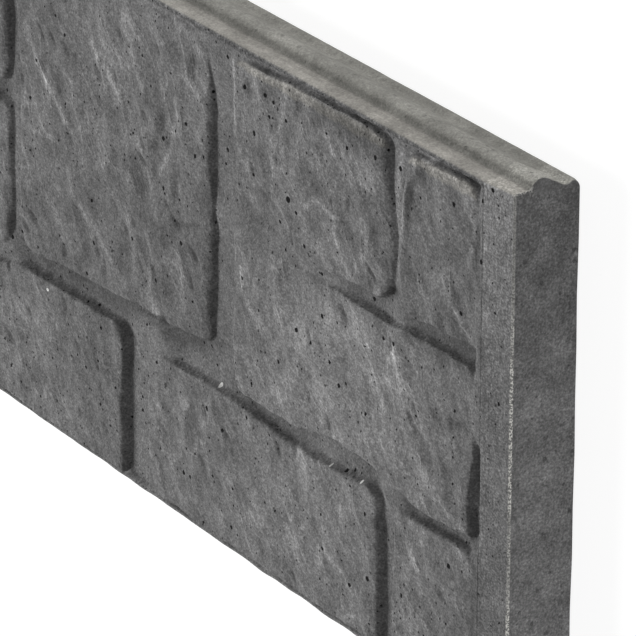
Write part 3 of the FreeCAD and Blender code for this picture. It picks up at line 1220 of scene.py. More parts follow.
    def wrap(
        self, skin: BoardSkin, columns: np.ndarray, upper: np.ndarray, lower: np.ndarray,
    ) -> list[np.ndarray]:
        """Add the ledge, the tongue, the back and the lower edge.

        Args:
            skin: The surface being built.
            columns: The places along the board where its edges have points.
            upper: Numbers of the points along the face's upper edge.
            lower: Numbers of the points along the face's lower edge.

        Returns:
            Numbers of the points in each row, from the face round to the face.
        """
        outline = np.array(self.section.rows())
        nose = self.face.rim_level(columns) - self.face.nose
        foot = self.face.rim_level(columns) - self.face.lower_arris
        before = np.roll(outline, 1, axis=0)
        after = np.roll(outline, -1, axis=0)
        heading = after - before
        heading[0] = (0.0, -1.0)
        heading[-1] = (0.0, 1.0)
        heading /= np.linalg.norm(heading, axis=1)[:, None]
        inward = np.stack((heading[:, 1], -heading[:, 0]), axis=1)
        drop = self.face.arris_drop(self.solid.high[0] - np.abs(columns), self.face.end_arris)
        rows = [upper]
        ledge = np.full(len(columns), self.section.ledge)
        rows.append(skin.add(np.stack((columns, ledge - drop, nose), axis=1)))
        for (y, z), (inward_y, inward_z) in zip(outline, inward):
            rows.append(skin.add(np.stack((columns, y + inward_y * drop, z + inward_z * drop), axis=1)))
        bottom = np.full(len(columns), self.section.low)
        rows.append(skin.add(np.stack((columns, bottom + drop, foot), axis=1)))
        rows.append(lower)
        for one, other in zip(rows[:-1], rows[1:]):
            skin.join(one, other)
        return rows

    def close_end(self, skin: BoardSkin, loop: np.ndarray, side: int) -> None:
        """Close one end with a flat face that is a little smaller than the section.

        Args:
            skin: The surface being built.
            loop: Numbers of the points round the section, counter-clockwise seen from the right end.
            side: 1 for the right end and -1 for the left one.
        """
        section = np.array([skin.points[number] for number in loop])[:, 1:]
        heading = np.roll(section, -1, axis=0) - np.roll(section, 1, axis=0)
        heading /= np.linalg.norm(heading, axis=1)[:, None]
        inward = np.stack((heading[:, 1], -heading[:, 0]), axis=1)
        rim = section + inward * self.face.end_arris * 0.5
        end = side * self.solid.high[0]
        ring = skin.add(np.column_stack((np.full(len(rim), end), rim)))
        closed_loop = np.concatenate((loop, loop[:1]))
        closed_ring = np.concatenate((ring, ring[:1]))
        if side > 0:
            skin.join(closed_ring, closed_loop)
        else:
            skin.join(closed_loop, closed_ring)
        shape = StoneTop(rim, end)
        spacing = self.fine_column if side > 0 else self.coarse_column
        low, high = shape.box(0.0)
        y, z = np.meshgrid(np.arange(low[0], high[0], spacing), np.arange(low[1], high[1], spacing))
        grid = np.stack((y.ravel(), z.ravel()), axis=1)
        gap, _ = shape.distance(grid)
        grid = grid[gap < -0.5 * spacing]
        middle = skin.add(np.column_stack((np.full(len(grid), end), grid)))
        skin.fill(np.concatenate((rim, grid)), np.concatenate((ring, middle)), len(rim), side < 0)

    def weather(self, mesh: bpy.types.Mesh, face_count: int) -> None:
        """Roughen the ledge, the tongue, the ends and the back a little, always inwards.

        Args:
            mesh: The board's mesh.
            face_count: How many of its first vertices are the face's.
        """
        foot_height = 6 * MM
        foot_slope = 8 * MM
        foot_start = 4.0
        end_depth = 3 * MM
        back_slope = 6 * MM
        back_start = 1.5
        count = len(mesh.vertices)
        places = np.empty(count * 3)
        normals = np.empty(count * 3)
        mesh.vertices.foreach_get("co", places)
        mesh.vertices.foreach_get("normal", normals)
        places = places.reshape(-1, 3)
        normals = normals.reshape(-1, 3)
        depth = np.zeros(count)
        for layer in self.patina:
            depth += layer.depth + layer.at(places)
        depth[:face_count] = 0.0
        moved = places - normals * depth[:, None]
        near_foot = ease(1.0 - (places[:, 1] - self.solid.low[1]) / foot_height)
        near_foot *= ease(places[:, 2] / foot_slope - foot_start)
        along = np.column_stack((places[:, 0], np.zeros(count)))
        moved[:, 1] += near_foot * (self.foot_waver.depth + self.foot_waver.at(along))
        near_back = ease(1.0 - (self.solid.high[0] - places[:, 0]) / end_depth)
        near_back *= ease(back_start - places[:, 2] / back_slope)
        across = np.column_stack((places[:, 1], np.zeros(count)))
        moved[:, 2] += near_back * (self.back_waver.depth + self.back_waver.at(across))
        moved = np.clip(moved, self.solid.low, self.solid.high)
        mesh.vertices.foreach_set("co", moved.ravel())
        mesh.update()

    def mark(self, mesh: bpy.types.Mesh, marks: dict[Mark, np.ndarray]) -> None:
        """Store values for the finish; what isn't part of the face gets 0.

        Args:
            mesh: The board's mesh, whose first vertices are the face's.
            marks: For each name, a value for each vertex of the face.
        """
        for mark, values in marks.items():
            stored = np.zeros(len(mesh.vertices), dtype=np.float32)
            stored[:len(values)] = values
            attribute = mesh.attributes.new(mark.value, "FLOAT", "POINT")
            attribute.data.foreach_set("value", stored)

    def dress(self, board: bpy.types.Object) -> None:
        """Give the board its finish and set it in the frame.

        Args:
            board: The board's object.
        """
        finish = CastConcrete(
            half_length=float(self.solid.high[0]),
            ledge=self.section.ledge,
            tongue_front=self.section.tongue_front,
            front=self.solid.rim - self.face.end_taper,
            strip_width=self.face.strip_width,
        )
        board.data.materials.append(finish.material())
        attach(board, BODY)
        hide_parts(NODE)


Colour = tuple[float, float, float, float]


class Sock:
    """A shader socket that takes part in Python expressions."""

    def __init__(self, graph: "Graph", socket: bpy.types.NodeSocket) -> None:
        """Wrap one output socket of a graph."""
        self.graph = graph
        self.socket = socket

    def __add__(self, other: "Sock | float") -> "Sock":
        """Return the sum."""
        return self.graph.math("ADD", self, other)

    __radd__ = __add__

    def __sub__(self, other: "Sock | float") -> "Sock":
        """Return the difference."""
        return self.graph.math("SUBTRACT", self, other)

    def __rsub__(self, other: "Sock | float") -> "Sock":
        """Return the difference from a number."""
        return self.graph.math("SUBTRACT", other, self)

    def __mul__(self, other: "Sock | float") -> "Sock":
        """Return the product."""
        return self.graph.math("MULTIPLY", self, other)

    __rmul__ = __mul__

    def __rpow__(self, base: float) -> "Sock":
        """Return a number raised to this power."""
        return self.graph.math("POWER", base, self)

    def __abs__(self) -> "Sock":
        """Return the value without its sign."""
        return self.graph.math("ABSOLUTE", self)

    def band(self, low: float, high: float) -> "Sock":
        """Return 0 below one value, 1 above the other and a smooth step between them."""
        settings = {"interpolation_type": "SMOOTHSTEP"}
        return self.graph.node("ShaderNodeMapRange", settings, {0: self, 1: low, 2: high, 3: 0.0, 4: 1.0})


class Graph:
    """The node tree of one material, filled by Python expressions."""

    def __init__(self, material: bpy.types.Material) -> None:
        """Empty a material's node tree."""
        material.use_nodes = True
        self.tree = material.node_tree
        self.tree.nodes.clear()

    def node(self, kind: str, settings: dict, values: dict, out: int | str = 0) -> Sock | None:
        """Add a node.

        Args:
            kind: The node's type.
            settings: Its settings, which are set first.
            values: Its sockets' values or links, by name or number.
            out: Name or number of the output that is wanted.

        Returns:
            That output, or None if the node has no outputs.
        """
        added = self.tree.nodes.new(kind)
        for name, value in settings.items():
            setattr(added, name, value)
        for name, value in values.items():
            if isinstance(value, Sock):
                self.tree.links.new(value.socket, added.inputs[name])
            else:
                added.inputs[name].default_value = value
        return Sock(self, added.outputs[out]) if added.outputs else None

    def math(self, operation: str, first: Sock | float, second: Sock | float = 0.0) -> Sock:
        """Return the result of one Math node."""
        return self.node("ShaderNodeMath", {"operation": operation}, {0: first, 1: second})

    def vector(self, operation: str, first: Sock, second: Sock | tuple[float, float, float]) -> Sock:
        """Return the result of one Vector Math node."""
        return self.node("ShaderNodeVectorMath", {"operation": operation}, {0: first, 1: second})

    def mix(self, share: Sock | float, first: Sock | Colour, second: Sock | Colour) -> Sock:
        """Return a mix of two colours, with a share of the second."""
        settings = {"data_type": "RGBA", "blend_type": "MIX"}
        return self.node("ShaderNodeMix", settings, {0: share, 6: first, 7: second}, 2)

    def tinted(self, colour: Sock, factor: Sock) -> Sock:
        """Return a colour times a factor."""
        settings = {"data_type": "RGBA", "blend_type": "MULTIPLY"}
        return self.node("ShaderNodeMix", settings, {0: 1.0, 6: colour, 7: factor}, 2)

    def noise(self, place: Sock, cell: float, detail: float, roughness: float = 0.5) -> Sock:
        """Return noise from 0 to 1 whose lumps are about `cell` metres wide."""
        values = {"Vector": place, "Scale": 1.0 / cell, "Detail": detail, "Roughness": roughness}
        return self.node("ShaderNodeTexNoise", {}, values)

    def swing(self, place: Sock, cell: float, detail: float, roughness: float = 0.5) -> Sock:
        """Return such noise about 0."""
        return self.noise(place, cell, detail, roughness) - 0.5

    def strayed(self, place: Sock, cell: float, reach: float) -> Sock:
        """Let coordinates stray.

        Args:
            place: The coordinates.
            cell: Width of the lumps in which they stray.
            reach: Twice the farthest that they stray.

        Returns:
            The coordinates that have strayed.
        """
        values = {"Vector": place, "Scale": 1.0 / cell, "Detail": 1.0}
        lumps = self.node("ShaderNodeTexNoise", {}, values, "Color")
        centred = self.vector("SUBTRACT", lumps, (0.5, 0.5, 0.5))
        offset = self.node("ShaderNodeVectorMath", {"operation": "SCALE"}, {0: centred, "Scale": reach})
        return self.vector("ADD", place, offset)

    def stretched(self, place: Sock, run: float, stretch: float) -> Sock:
        """Make patterns run long in one direction of the face.

        Args:
            place: The coordinates.
            run: The direction, in degrees from X.
            stretch: How many times as long as wide the patterns are.

        Returns:
            The coordinates for such patterns.
        """
        values = {"Vector": place, "Rotation": (0.0, 0.0, -math.radians(run))}
        aligned = self.node("ShaderNodeMapping", {}, values)
        return self.vector("MULTIPLY", aligned, (1.0 / stretch, 1.0, 1.0))


class Patterns:
    """Coordinates, marks of the mesh and noises that the looks of the concrete are mixed from.

    Attributes:
        graph: The material's nodes.
        place, flat: Coordinates, and the same without the height over the back.
        far, across, out: Distance from the middle of the board, height across it and height over its back.
        ridge, dent, hewn, traced, under: The marks of the mesh; under places painted shade on the joints'
            floor.
        cloud, mottle, grain, speck: Noises about 0, from the broadest to the finest.
        drawn: Fine noise about 0, drawn out across the board.
        gap: How far each spot is from a vein of the hewn stone.
        fibre, tuft, streak: Its fibres, its pale tufts with their veins, and its broad streaks about 0.
    """

    def __init__(self, graph: Graph) -> None:
        """Add the patterns to a material's nodes.

        Args:
            graph: The nodes.
        """
        self.graph = graph
        self.place = graph.node("ShaderNodeTexCoord", {}, {}, "Object")
        self.flat = graph.vector("MULTIPLY", self.place, (1.0, 1.0, 0.0))
        along, self.across, self.out = (
            graph.node("ShaderNodeSeparateXYZ", {}, {0: self.place}, axis) for axis in range(3)
        )
        self.far = abs(along)
        self.ridge, self.dent, self.hewn, self.traced, self.under = (
            graph.node("ShaderNodeAttribute", {"attribute_name": mark.value}, {}, "Fac")
            for mark in (Mark.RIDGE, Mark.DENT, Mark.HEWN, Mark.VEIN, Mark.UNDER_SHADE)
        )
        self.cloud = graph.swing(self.place, 80 * MM, 1.0)
        self.mottle = graph.swing(self.place, 22 * MM, 4.0, 0.6)
        self.grain = graph.swing(self.place, 3.4 * MM, 2.0, 0.6)
        self.speck = graph.swing(self.place, 1.3 * MM, 1.0)
        self.drawn = graph.swing(graph.stretched(self.place, 90.0, 4.0), 1.5 * MM, 2.0, 0.6)
        self.add_veins()

    def add_veins(self) -> None:
        """Add what runs slantwise over the hewn stones."""
        graph = self.graph
        bent = graph.strayed(self.place, 40 * MM, 34 * MM)
        self.gap = abs(graph.swing(graph.stretched(bent, 122.0, 3.6), 20 * MM, 2.0))
        vein = 1.0 - self.gap.band(0.0, 0.03)
        ruffled = graph.strayed(bent, 7 * MM, 4 * MM)
        finer = abs(graph.swing(graph.stretched(ruffled, 110.0, 4.0), 6 * MM, 1.0))
        self.fibre = 1.0 - finer.band(0.0, 0.06)
        tufted = graph.noise(self.place, 34 * MM, 2.0).band(0.44, 0.64)
        self.tuft = tufted * (0.3 * vein + 0.22 * self.fibre + 0.14) + 0.12 * vein
        self.streak = graph.swing(graph.stretched(bent, 118.0, 3.2), 9 * MM, 3.0, 0.6)


@dataclass(frozen=True)
class Spot:
    """A round spot of the face, seen from the front, in millimetres.

    Attributes:
        x, y: Its middle.
        radius: Its radius.
    """

    x: float
    y: float
    radius: float

    def at(self, patterns: Patterns, edge: float) -> Sock:
        """Draw the spot.

        Args:
            patterns: The patterns of the material.
            edge: Width of its soft edge to either side, as a share of its radius.

        Returns:
            1 in the spot and 0 outside it.
        """
        radius = self.radius * MM
        values = {0: patterns.flat, 1: (self.x * MM, self.y * MM, 0.0)}
        gap = patterns.graph.node("ShaderNodeVectorMath", {"operation": "DISTANCE"}, values, "Value")
        return 1.0 - gap.band(radius * (1.0 - edge), radius * (1.0 + edge))


@dataclass(frozen=True)
class Bubbles:
    """Air pores of one range of sizes, in millimetres.

    Attributes:
        cell: Spacing of the pores.
        share: How many of the cells have a pore.
        least, most: Radius of the smallest and of the largest pore.
        edge: Width of a pore's soft edge to either side.
        gathering: How strongly the broadest noise gathers the pores in clusters.
        doubt: How softly a cell's chance turns into a pore.
    """

    cell: float
    share: float
    least: float
    most: float
    edge: float = 0.2
    gathering: float = 0.8
    doubt: float = 0.02

    def at(self, patterns: Patterns, place: Sock) -> Sock:
        """Draw the pores.

        Args:
            patterns: The patterns of the material.
            place: Coordinates, which may stray to make the pores ragged.

        Returns:
            1 in the pores and 0 outside them.
        """
        graph = patterns.graph
        values = {"Vector": place, "Scale": 1.0 / (self.cell * MM)}
        gap = graph.node("ShaderNodeTexVoronoi", {}, values, "Distance")
        chance = graph.node("ShaderNodeTexVoronoi", {}, values, "Color")
        red = graph.node("ShaderNodeSeparateColor", {}, {0: chance}, 0)
        green = graph.node("ShaderNodeSeparateColor", {}, {0: chance}, 1)
        radius = self.least / self.cell + (self.most - self.least) / self.cell * red * red
        edge = self.edge / self.cell
        limit = 1.0 - self.share
        here = (green + self.gathering * patterns.cloud).band(limit - self.doubt, limit + self.doubt)
        return (radius - gap).band(-edge, edge) * here


@dataclass(frozen=True)
class Tones:
    """How many times each pattern doubles the colour of the concrete.

    Attributes:
        cloud, mottle, grain, speck: The noises all over the board.
        calm: How much less grain and speck the ledge and the tongue have.
        tops, ridge, dent, streak: The hewn stones, their ridges with a painted highlight, their dents
            darkened by dirt and painted shade, and their streaks.
        traced, fibre: The single veins and the fibres in them.
        under: Painted shade on the floor of the joints under the stones.
        film: How much paler the upper edges of the stones are, for their film and a painted highlight.
        strip_drawn, strip_speck, strip_top: Two noises of the plain strips, and their upper part.
        end, end_mottle, end_grain, end_speck, end_drawn: The end faces and their noises.
        end_shade_height, end_shade_out: Painted shade on the end faces, darker towards the ledge, and for
            each metre towards the front.
        nose, nose_grain: Painted shade on the front of the rim under the ledge, and its grain and speck.
        corner, ledge_front_highlight: Painted shade in the corner at the foot of the tongue, and a painted
            highlight along the front of the ledge.
    """

    cloud: float = 0.7
    mottle: float = 1.5
    grain: float = 1.5
    speck: float = 2.4
    calm: float = 0.45
    tops: float = -0.16
    ridge: float = 0.3
    dent: float = -0.8
    streak: float = 1.0
    traced: float = 0.48
    fibre: float = 0.5
    under: float = -0.9
    film: float = 0.15
    strip_drawn: float = 1.5
    strip_speck: float = 0.6
    strip_top: float = 0.32
    end: float = 0.3
    end_mottle: float = 0.8
    end_grain: float = -1.0
    end_speck: float = 0.3
    end_drawn: float = 0.5
    end_shade_height: float = -0.3
    end_shade_out: float = -8.0
    nose: float = -0.55
    nose_grain: float = 1.2
    corner: float = -0.5
    ledge_front_highlight: float = 0.22


class Zones:
    """Where the parts of the board with looks of their own are, each from 0 to 1.

    Attributes:
        end, strip: The end faces, and the plain strips together with them.
        behind, upper: All that lies behind the tongue's front, and the ledge with the tongue.
        nose: The front of the rim under the ledge, where shade is painted.
        shoulder: The upper edges of the stones that have the ledge's film and a painted highlight.
    """

    def __init__(self, finish: "CastConcrete", patterns: Patterns) -> None:
        """Add the zones to a material's nodes.

        Args:
            finish: The finish, which holds the sizes.
            patterns: The patterns of the material.
        """
        graph = patterns.graph
        across = patterns.across
        half = finish.half_length
        panel = half - finish.strip_width
        ledge = finish.ledge
        foot = finish.tongue_front
        self.end = patterns.far.band(half - 1.0 * MM, half - 0.3 * MM)
        self.strip = patterns.far.band(panel - 1 * MM, panel + 1 * MM)
        self.behind = 1.0 - patterns.out.band(foot - 0.4 * MM, foot + 0.6 * MM)
        shelf = across.band(ledge - 1.8 * MM, ledge - 0.5 * MM)
        tongue = self.behind * across.band(ledge - 5 * MM, ledge - 3 * MM)
        self.upper = graph.math("MAXIMUM", shelf, tongue)
        rim = across.band(ledge - 6.0 * MM, ledge - 3.5 * MM)
        self.nose = rim * (1.0 - self.upper) * (1.0 - self.strip)
        ragged = across + 8 * MM * graph.swing(graph.stretched(patterns.place, 100.0, 2.0), 8 * MM, 2.0)
        edges = ragged.band(ledge - 16 * MM, ledge - 13.5 * MM) * patterns.hewn
        self.shoulder = edges * patterns.far.band(finish.film_from, finish.film_from + 10 * MM)


@dataclass(frozen=True)
class CastConcrete:
    """Dark dyed concrete, cast wet in a mould: grainy, veined and pored, and paler on its worn edges.

    Attributes:
        half_length: Where the board ends along X.
        ledge: Height of the ledge along Y.
        tongue_front: Where the tongue begins along Z.
        front: Level of the face at the ends along Z.
        strip_width: Width of the plain strip at each end.
        stone, ledge_film, tongue_film: Colours of the face and of the upper edge.
        worn, pore, fleck: Colours of worn edges, of air pores and of bare sand.
        tones: How much the patterns change the colour.
        roughness, gloss: How matt the surface is, and how much it reflects.
        tuft_height, vein_depth, mottle_height, grain_height, pit_depth: Relief of patterns, in millimetres.
        large_pores, small_pores, small_share: Air pores, and how dark the small ones are.
        upper_loss, end_loss: How much paler the pores are on the upper edge and on the end faces.
        least_wear, upper_wear, crumb_wear: Wear all along the arrises, high up and beside the tongue.
        voids: Single large pores.
        grains: Single white grains of sand.
        spot_edge, bloom_edge: How soft the edges of those and of the blooms are.
        film_from: How far from the middle of the board stones have the ledge's film and a painted highlight
            on their upper edges.
        film_share: How much of the film they have.
        blooms: Paler and darker parts of the face, with how many times they double its colour.
    """

    half_length: float
    ledge: float
    tongue_front: float
    front: float
    strip_width: float
    stone: Colour = (0.148, 0.147, 0.147, 1.0)
    ledge_film: Colour = (0.19, 0.183, 0.168, 1.0)
    tongue_film: Colour = (0.194, 0.191, 0.175, 1.0)
    worn: Colour = (0.72, 0.71, 0.67, 1.0)
    pore: Colour = (0.006, 0.006, 0.006, 1.0)
    fleck: Colour = (0.78, 0.78, 0.76, 1.0)
    tones: Tones = Tones()
    roughness: float = 0.9
    gloss: float = 0.12
    tuft_height: float = 0.3
    vein_depth: float = 2.5
    mottle_height: float = 2.0
    grain_height: float = 0.4
    pit_depth: float = 1.0
    large_pores: Bubbles = Bubbles(9.5, 0.5, 0.75, 1.7)
    small_pores: Bubbles = Bubbles(4.2, 0.4, 0.4, 0.85)
    small_share: float = 0.85
    upper_loss: float = 0.7
    end_loss: float = 0.6
    least_wear: float = 0.12
    upper_wear: float = 0.2
    crumb_wear: float = 0.35
    voids: tuple[Spot, ...] = (
        Spot(669, 151, 1.3),
        Spot(677.5, 149, 1.3),
        Spot(694, 91, 2),
        Spot(756, 146.5, 1.2),
        Spot(617, 28.5, 1.4),
    )
    grains: tuple[Spot, ...] = (
        Spot(608, -69.5, 1.5),
        Spot(735.5, -73, 0.8),
        Spot(769, -70.8, 0.9),
        Spot(406, -77.5, 1.2),
    )
    spot_edge: float = 0.2
    bloom_edge: float = 0.6
    film_from: float = 620 * MM
    film_share: float = 0.7
    blooms: tuple[tuple[Spot, float], ...] = (
        (Spot(770, -8, 75), 0.48),
        (Spot(690, -100, 60), 0.25),
        (Spot(490, 30, 80), -0.16),
        (Spot(420, -110, 60), -0.12),
    )

    def material(self) -> bpy.types.Material:
        """Make the finish.

        Returns:
            The material.
        """
        material = bpy.data.materials.new("cast_concrete")
        graph = Graph(material)
        patterns = Patterns(graph)
        zones = Zones(self, patterns)
        pits = self.pits(patterns, zones)
        hewn = self.tuft_height * patterns.tuft - self.vein_depth * patterns.gap
        relief = patterns.hewn * hewn + self.mottle_height * patterns.mottle
        relief = relief + self.grain_height * patterns.grain - self.pit_depth * pits
        bump = graph.node("ShaderNodeBump", {}, {"Strength": 1.0, "Distance": MM, "Height": relief})
        shader = graph.node("ShaderNodeBsdfPrincipled", {}, {
            "Base Color": self.colour(patterns, zones, pits),
            "Roughness": self.roughness,
            "Specular IOR Level": self.gloss,
            "Normal": bump,
        })
        graph.node("ShaderNodeOutputMaterial", {}, {"Surface": shader})
        return material

    def colour(self, patterns: Patterns, zones: Zones, pits: Sock) -> Sock:
        """Mix the colour of the concrete.

        Args:
            patterns: The patterns of the material.
            zones: The parts of the board.
            pits: Where the pores are.

        Returns:
            The colour.
        """
        graph = patterns.graph
        film = graph.mix(zones.behind, self.ledge_film, self.tongue_film)
        # The upper edges of the stones take the ledge's film: its tint is the concrete's, its paleness
        # partly a painted highlight.
        filmed = (zones.upper + self.film_share * zones.shoulder) * (1.0 - zones.end)
        tone = self.face_tone(patterns, zones)
        tone = tone + self.end_tone(patterns, zones) + self.edge_tone(patterns, zones)
        colour = graph.tinted(graph.mix(filmed, self.stone, film), 2.0 ** tone)
        colour = graph.mix(self.wear(patterns, zones), colour, self.worn)
        colour = graph.mix(pits, colour, self.pore)
        bare = sum(grain.at(patterns, self.spot_edge) for grain in self.grains) * (1.0 - zones.behind)
        return graph.mix(bare, colour, self.fleck)

    def face_tone(self, patterns: Patterns, zones: Zones) -> Sock:
        """Sum up the tones of the concrete all over and of the hewn face.

        Args:
            patterns: The patterns of the material.
            zones: The parts of the board.

        Returns:
            How many times they double the colour.
        """
        tones = self.tones
        fine = tones.grain * patterns.grain + tones.speck * patterns.speck
        tone = tones.cloud * patterns.cloud + tones.mottle * patterns.mottle
        tone = tone + (1.0 - tones.calm * zones.upper) * fine
        streak = tones.streak * patterns.streak
        # The ridges between scars get a painted highlight.
        tone = tone + patterns.hewn * (patterns.tuft + streak + tones.ridge * patterns.ridge + tones.tops)
        tone = tone + patterns.traced * (tones.traced + tones.fibre * patterns.fibre + streak)
        # Darker dents, from dirt and painted shade, and painted shade on the joints' floor under the
        # stones.
        tone = tone + tones.dent * patterns.dent + tones.under * patterns.under
        # Paler upper edges of the stones: a painted highlight over their film.
        tone = tone + tones.film * zones.shoulder
        return sum((rise * bloom.at(patterns, self.bloom_edge) for bloom, rise in self.blooms), tone)

    def end_tone(self, patterns: Patterns, zones: Zones) -> Sock:
        """Sum up the tones of the plain strips and the end faces, with painted shade on the end faces.

        Args:
            patterns: The patterns of the material.
            zones: The parts of the board.

        Returns:
            How many times they double the colour.
        """
        tones = self.tones
        strip = tones.strip_drawn * patterns.drawn + tones.strip_speck * patterns.speck
        strip = strip + tones.strip_top * patterns.across.band(50 * MM, 130 * MM)
        end = tones.end_mottle * patterns.mottle + tones.end_grain * patterns.grain
        end = end + tones.end_speck * patterns.speck + tones.end_drawn * patterns.drawn
        # Painted shade: the end faces grow darker towards the ledge and towards the front.
        end = end + tones.end_shade_height / self.ledge * patterns.across + tones.end_shade_out * patterns.out
        end = end + tones.end
        return zones.strip * strip * (1.0 - zones.end) + zones.end * end

    def edge_tone(self, patterns: Patterns, zones: Zones) -> Sock:
        """Sum up the tones of the strips' seams, the painted shade on the rim under the ledge and at the
        foot of the tongue, and the painted highlight along the front of the ledge.

        Args:
            patterns: The patterns of the material.
            zones: The parts of the board.

        Returns:
            How many times they double the colour.
        """
        tones = self.tones
        seam = abs(patterns.far - (self.half_length - self.strip_width))
        line = (1.0 - seam.band(0.2 * MM, 0.9 * MM)) * (1.0 - zones.upper)
        broken = patterns.graph.noise(patterns.place, 12 * MM, 2.0).band(0.2, 0.6)
        # Painted shade on the rim under the ledge, with its grain and speck.
        nose = tones.nose_grain * (patterns.speck + patterns.grain) + tones.nose
        # Painted shade in the corner at the foot of the tongue, and a painted highlight along the front of
        # the ledge.
        corner = 1.0 - abs(patterns.out - self.tongue_front).band(0.0, 4.0 * MM)
        front = patterns.out.band(self.front - 6 * MM, self.front - 3 * MM)
        upper = zones.upper * (tones.corner * corner + tones.ledge_front_highlight * front)
        return zones.nose * nose + upper - line * broken

    def pits(self, patterns: Patterns, zones: Zones) -> Sock:
        """Draw the air pores, which are paler on the upper edge and the end faces.

        Args:
            patterns: The patterns of the material.
            zones: The parts of the board.

        Returns:
            1 in the pores and 0 outside them.
        """
        graph = patterns.graph
        ragged = graph.strayed(patterns.place, 2.2 * MM, 1.4 * MM)
        small = self.small_share * self.small_pores.at(patterns, ragged)
        pores = graph.math("MAXIMUM", self.large_pores.at(patterns, ragged), small)
        pores = pores * (1.0 - self.upper_loss * zones.upper) * (1.0 - self.end_loss * zones.end)
        pits = sum((void.at(patterns, self.spot_edge) * patterns.hewn for void in self.voids), pores)
        return graph.math("MINIMUM", pits, 1.0)

    def wear(self, patterns: Patterns, zones: Zones) -> Sock:
        """Draw where the arrises at the ends are worn pale.

        Args:
            patterns: The patterns of the material.
            zones: The parts of the board.

        Returns:
            The share of wear.
        """
        graph = patterns.graph
        half = self.half_length
        near = patterns.far.band(half - 2.0 * MM, half - 0.7 * MM)
        front = patterns.out.band(self.front - 2.0 * MM, self.front - 0.9 * MM)
        broken = graph.noise(patterns.place, 1.4 * MM, 1.0, 0.6).band(0.47, 0.55)
        patchy = graph.noise(patterns.place, 45 * MM, 1.0).band(0.2, 0.45)
        lower = 1.0 - (1.0 - self.upper_wear) * patterns.across.band(70 * MM, 130 * MM)
        crumbs = zones.upper * patterns.out.band(self.tongue_front - 4 * MM, self.tongue_front) * broken
        worn = self.least_wear + (1.0 - self.least_wear) * broken * patchy * lower
        return near * (front * worn + self.crumb_wear * crumbs)


@dataclass(frozen=True)
class Lamp:
    """A rectangular lamp.

    Attributes:
        name: Its name.
        place: Where it hangs.
        power: Its power.
        size: Its width and height.
    """

    name: str
    place: tuple[float, float, float]
    power: float
    size: tuple[float, float]

    def hang(self, aim: Vector) -> None:
        """Hang the lamp.

        Args:
            aim: The point that it faces.
        """
        data = bpy.data.lights.new(self.name, "AREA")
        data.shape = "RECTANGLE"
        data.size, data.size_y = self.size
        data.energy = self.power
        lamp = bpy.data.objects.new(self.name, data)
        turn = (aim - Vector(self.place)).to_track_quat("-Z", "Y").to_matrix()
        lamp.matrix_world = Matrix.Translation(self.place) @ turn.to_4x4()
        bpy.context.scene.collection.objects.link(lamp)


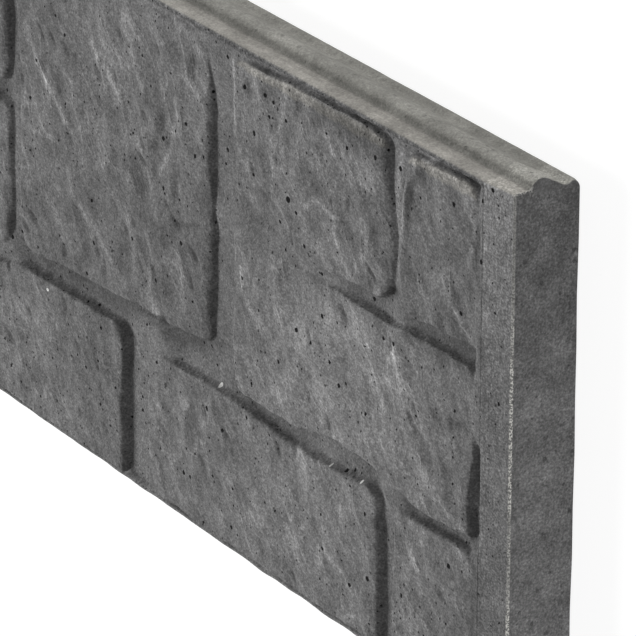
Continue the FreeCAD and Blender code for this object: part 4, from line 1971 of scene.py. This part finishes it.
@dataclass
class Studio:
    """The floor, the light and the camera.

    Attributes:
        place, aim: Where the camera stands and the point it looks at.
        lens, sensor: Focal length and width of the frame, in millimetres.
        view_end: How far the camera sees.
        ambient: Strength of the light from all round.
        lamps: Low beyond the tongue, large over the left part of the board, and low before the right end.
        floor_reach: Half the width of the floor.
        floor_bounce: How much light the floor throws back on the board.
        floor_lit, floor_glow: How pale the floor looks, by the lamps and by itself.
    """

    place: tuple[float, float, float] = (3.08299, 1.33742, 1.65129)
    aim: tuple[float, float, float] = (0.72355, 0.02248, 0.05)
    lens: float = 291.37
    sensor: float = 36.0
    view_end: float = 50.0
    ambient: float = 0.33
    lamps: tuple[Lamp, ...] = (
        Lamp("key", (-0.3, 3.2, 0.075), 88.0, (1.6, 0.14)),
        Lamp("side", (-2.88, -0.98, 3.28), 232.0, (1.8, 1.8)),
        Lamp("end", (4.0, -0.6, 0.04), 30.0, (1.5, 0.06)),
    )
    floor_reach: float = 8.0
    floor_bounce: float = 0.75
    floor_lit: float = 0.2
    floor_glow: float = 0.9

    def set_up(self) -> None:
        """Make the camera, the lamps and the floor."""
        scene = bpy.context.scene
        scene.view_settings.view_transform = "Standard"
        self.make_camera()
        self.make_light()
        self.make_floor()

    def make_camera(self) -> None:
        """Stand the camera at the photograph's viewing angle, with the board's height upright."""
        data = bpy.data.cameras.new("camera")
        data.lens = self.lens
        data.sensor_width = self.sensor
        data.clip_end = self.view_end
        camera = bpy.data.objects.new("camera", data)
        back = (Vector(self.place) - Vector(self.aim)).normalized()
        right = Vector((0.0, 1.0, 0.0)).cross(back).normalized()
        up = back.cross(right)
        turn = Matrix((right, up, back)).transposed()
        camera.matrix_world = Matrix.Translation(self.place) @ turn.to_4x4()
        bpy.context.scene.collection.objects.link(camera)
        bpy.context.scene.camera = camera

    def make_light(self) -> None:
        """Light the board softly from all round and by the lamps."""
        world = bpy.data.worlds.new("studio")
        world.use_nodes = True
        world.node_tree.nodes["Background"].inputs["Strength"].default_value = self.ambient
        world.node_tree.nodes["Background"].inputs["Color"].default_value = (1.0, 1.0, 1.0, 1.0)
        bpy.context.scene.world = world
        for lamp in self.lamps:
            lamp.hang(Vector(self.aim))

    def make_floor(self) -> None:
        """Lay a pale floor under the board."""
        mesh = bpy.data.meshes.new("floor")
        reach = self.floor_reach
        corners = [(-reach, -reach, 0.0), (reach, -reach, 0.0), (reach, reach, 0.0), (-reach, reach, 0.0)]
        mesh.from_pydata(corners, [], [(0, 1, 2, 3)])
        floor = bpy.data.objects.new("floor", mesh)
        bpy.context.scene.collection.objects.link(floor)
        material = bpy.data.materials.new("floor")
        graph = Graph(material)
        rays = ("Is Camera Ray", "Is Glossy Ray", "Is Transmission Ray")
        seen = sum(graph.node("ShaderNodeLightPath", {}, {}, ray) for ray in rays)
        bounce, lit = (
            graph.node("ShaderNodeBsdfDiffuse", {}, {"Color": (grey, grey, grey, 1.0)})
            for grey in (self.floor_bounce, self.floor_lit)
        )
        glow = graph.node("ShaderNodeEmission", {}, {"Strength": self.floor_glow})
        pale = graph.node("ShaderNodeAddShader", {}, {0: lit, 1: glow})
        shader = graph.node("ShaderNodeMixShader", {}, {0: seen, 1: bounce, 2: pale})
        graph.node("ShaderNodeOutputMaterial", {}, {"Surface": shader})
        mesh.materials.append(material)


def main() -> None:
    """Build the board, dress it and set up the studio."""
    logging.basicConfig(level=logging.INFO)
    board = GravelBoard(FrameFace(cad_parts[NODE]))
    piece = board.build()
    board.dress(piece)
    triangles = sum(len(polygon.vertices) - 2 for polygon in piece.data.polygons)
    LOG.info("%s: %d triangles", piece.name, triangles)
    Studio().set_up()


if __name__ == "__main__":
    main()
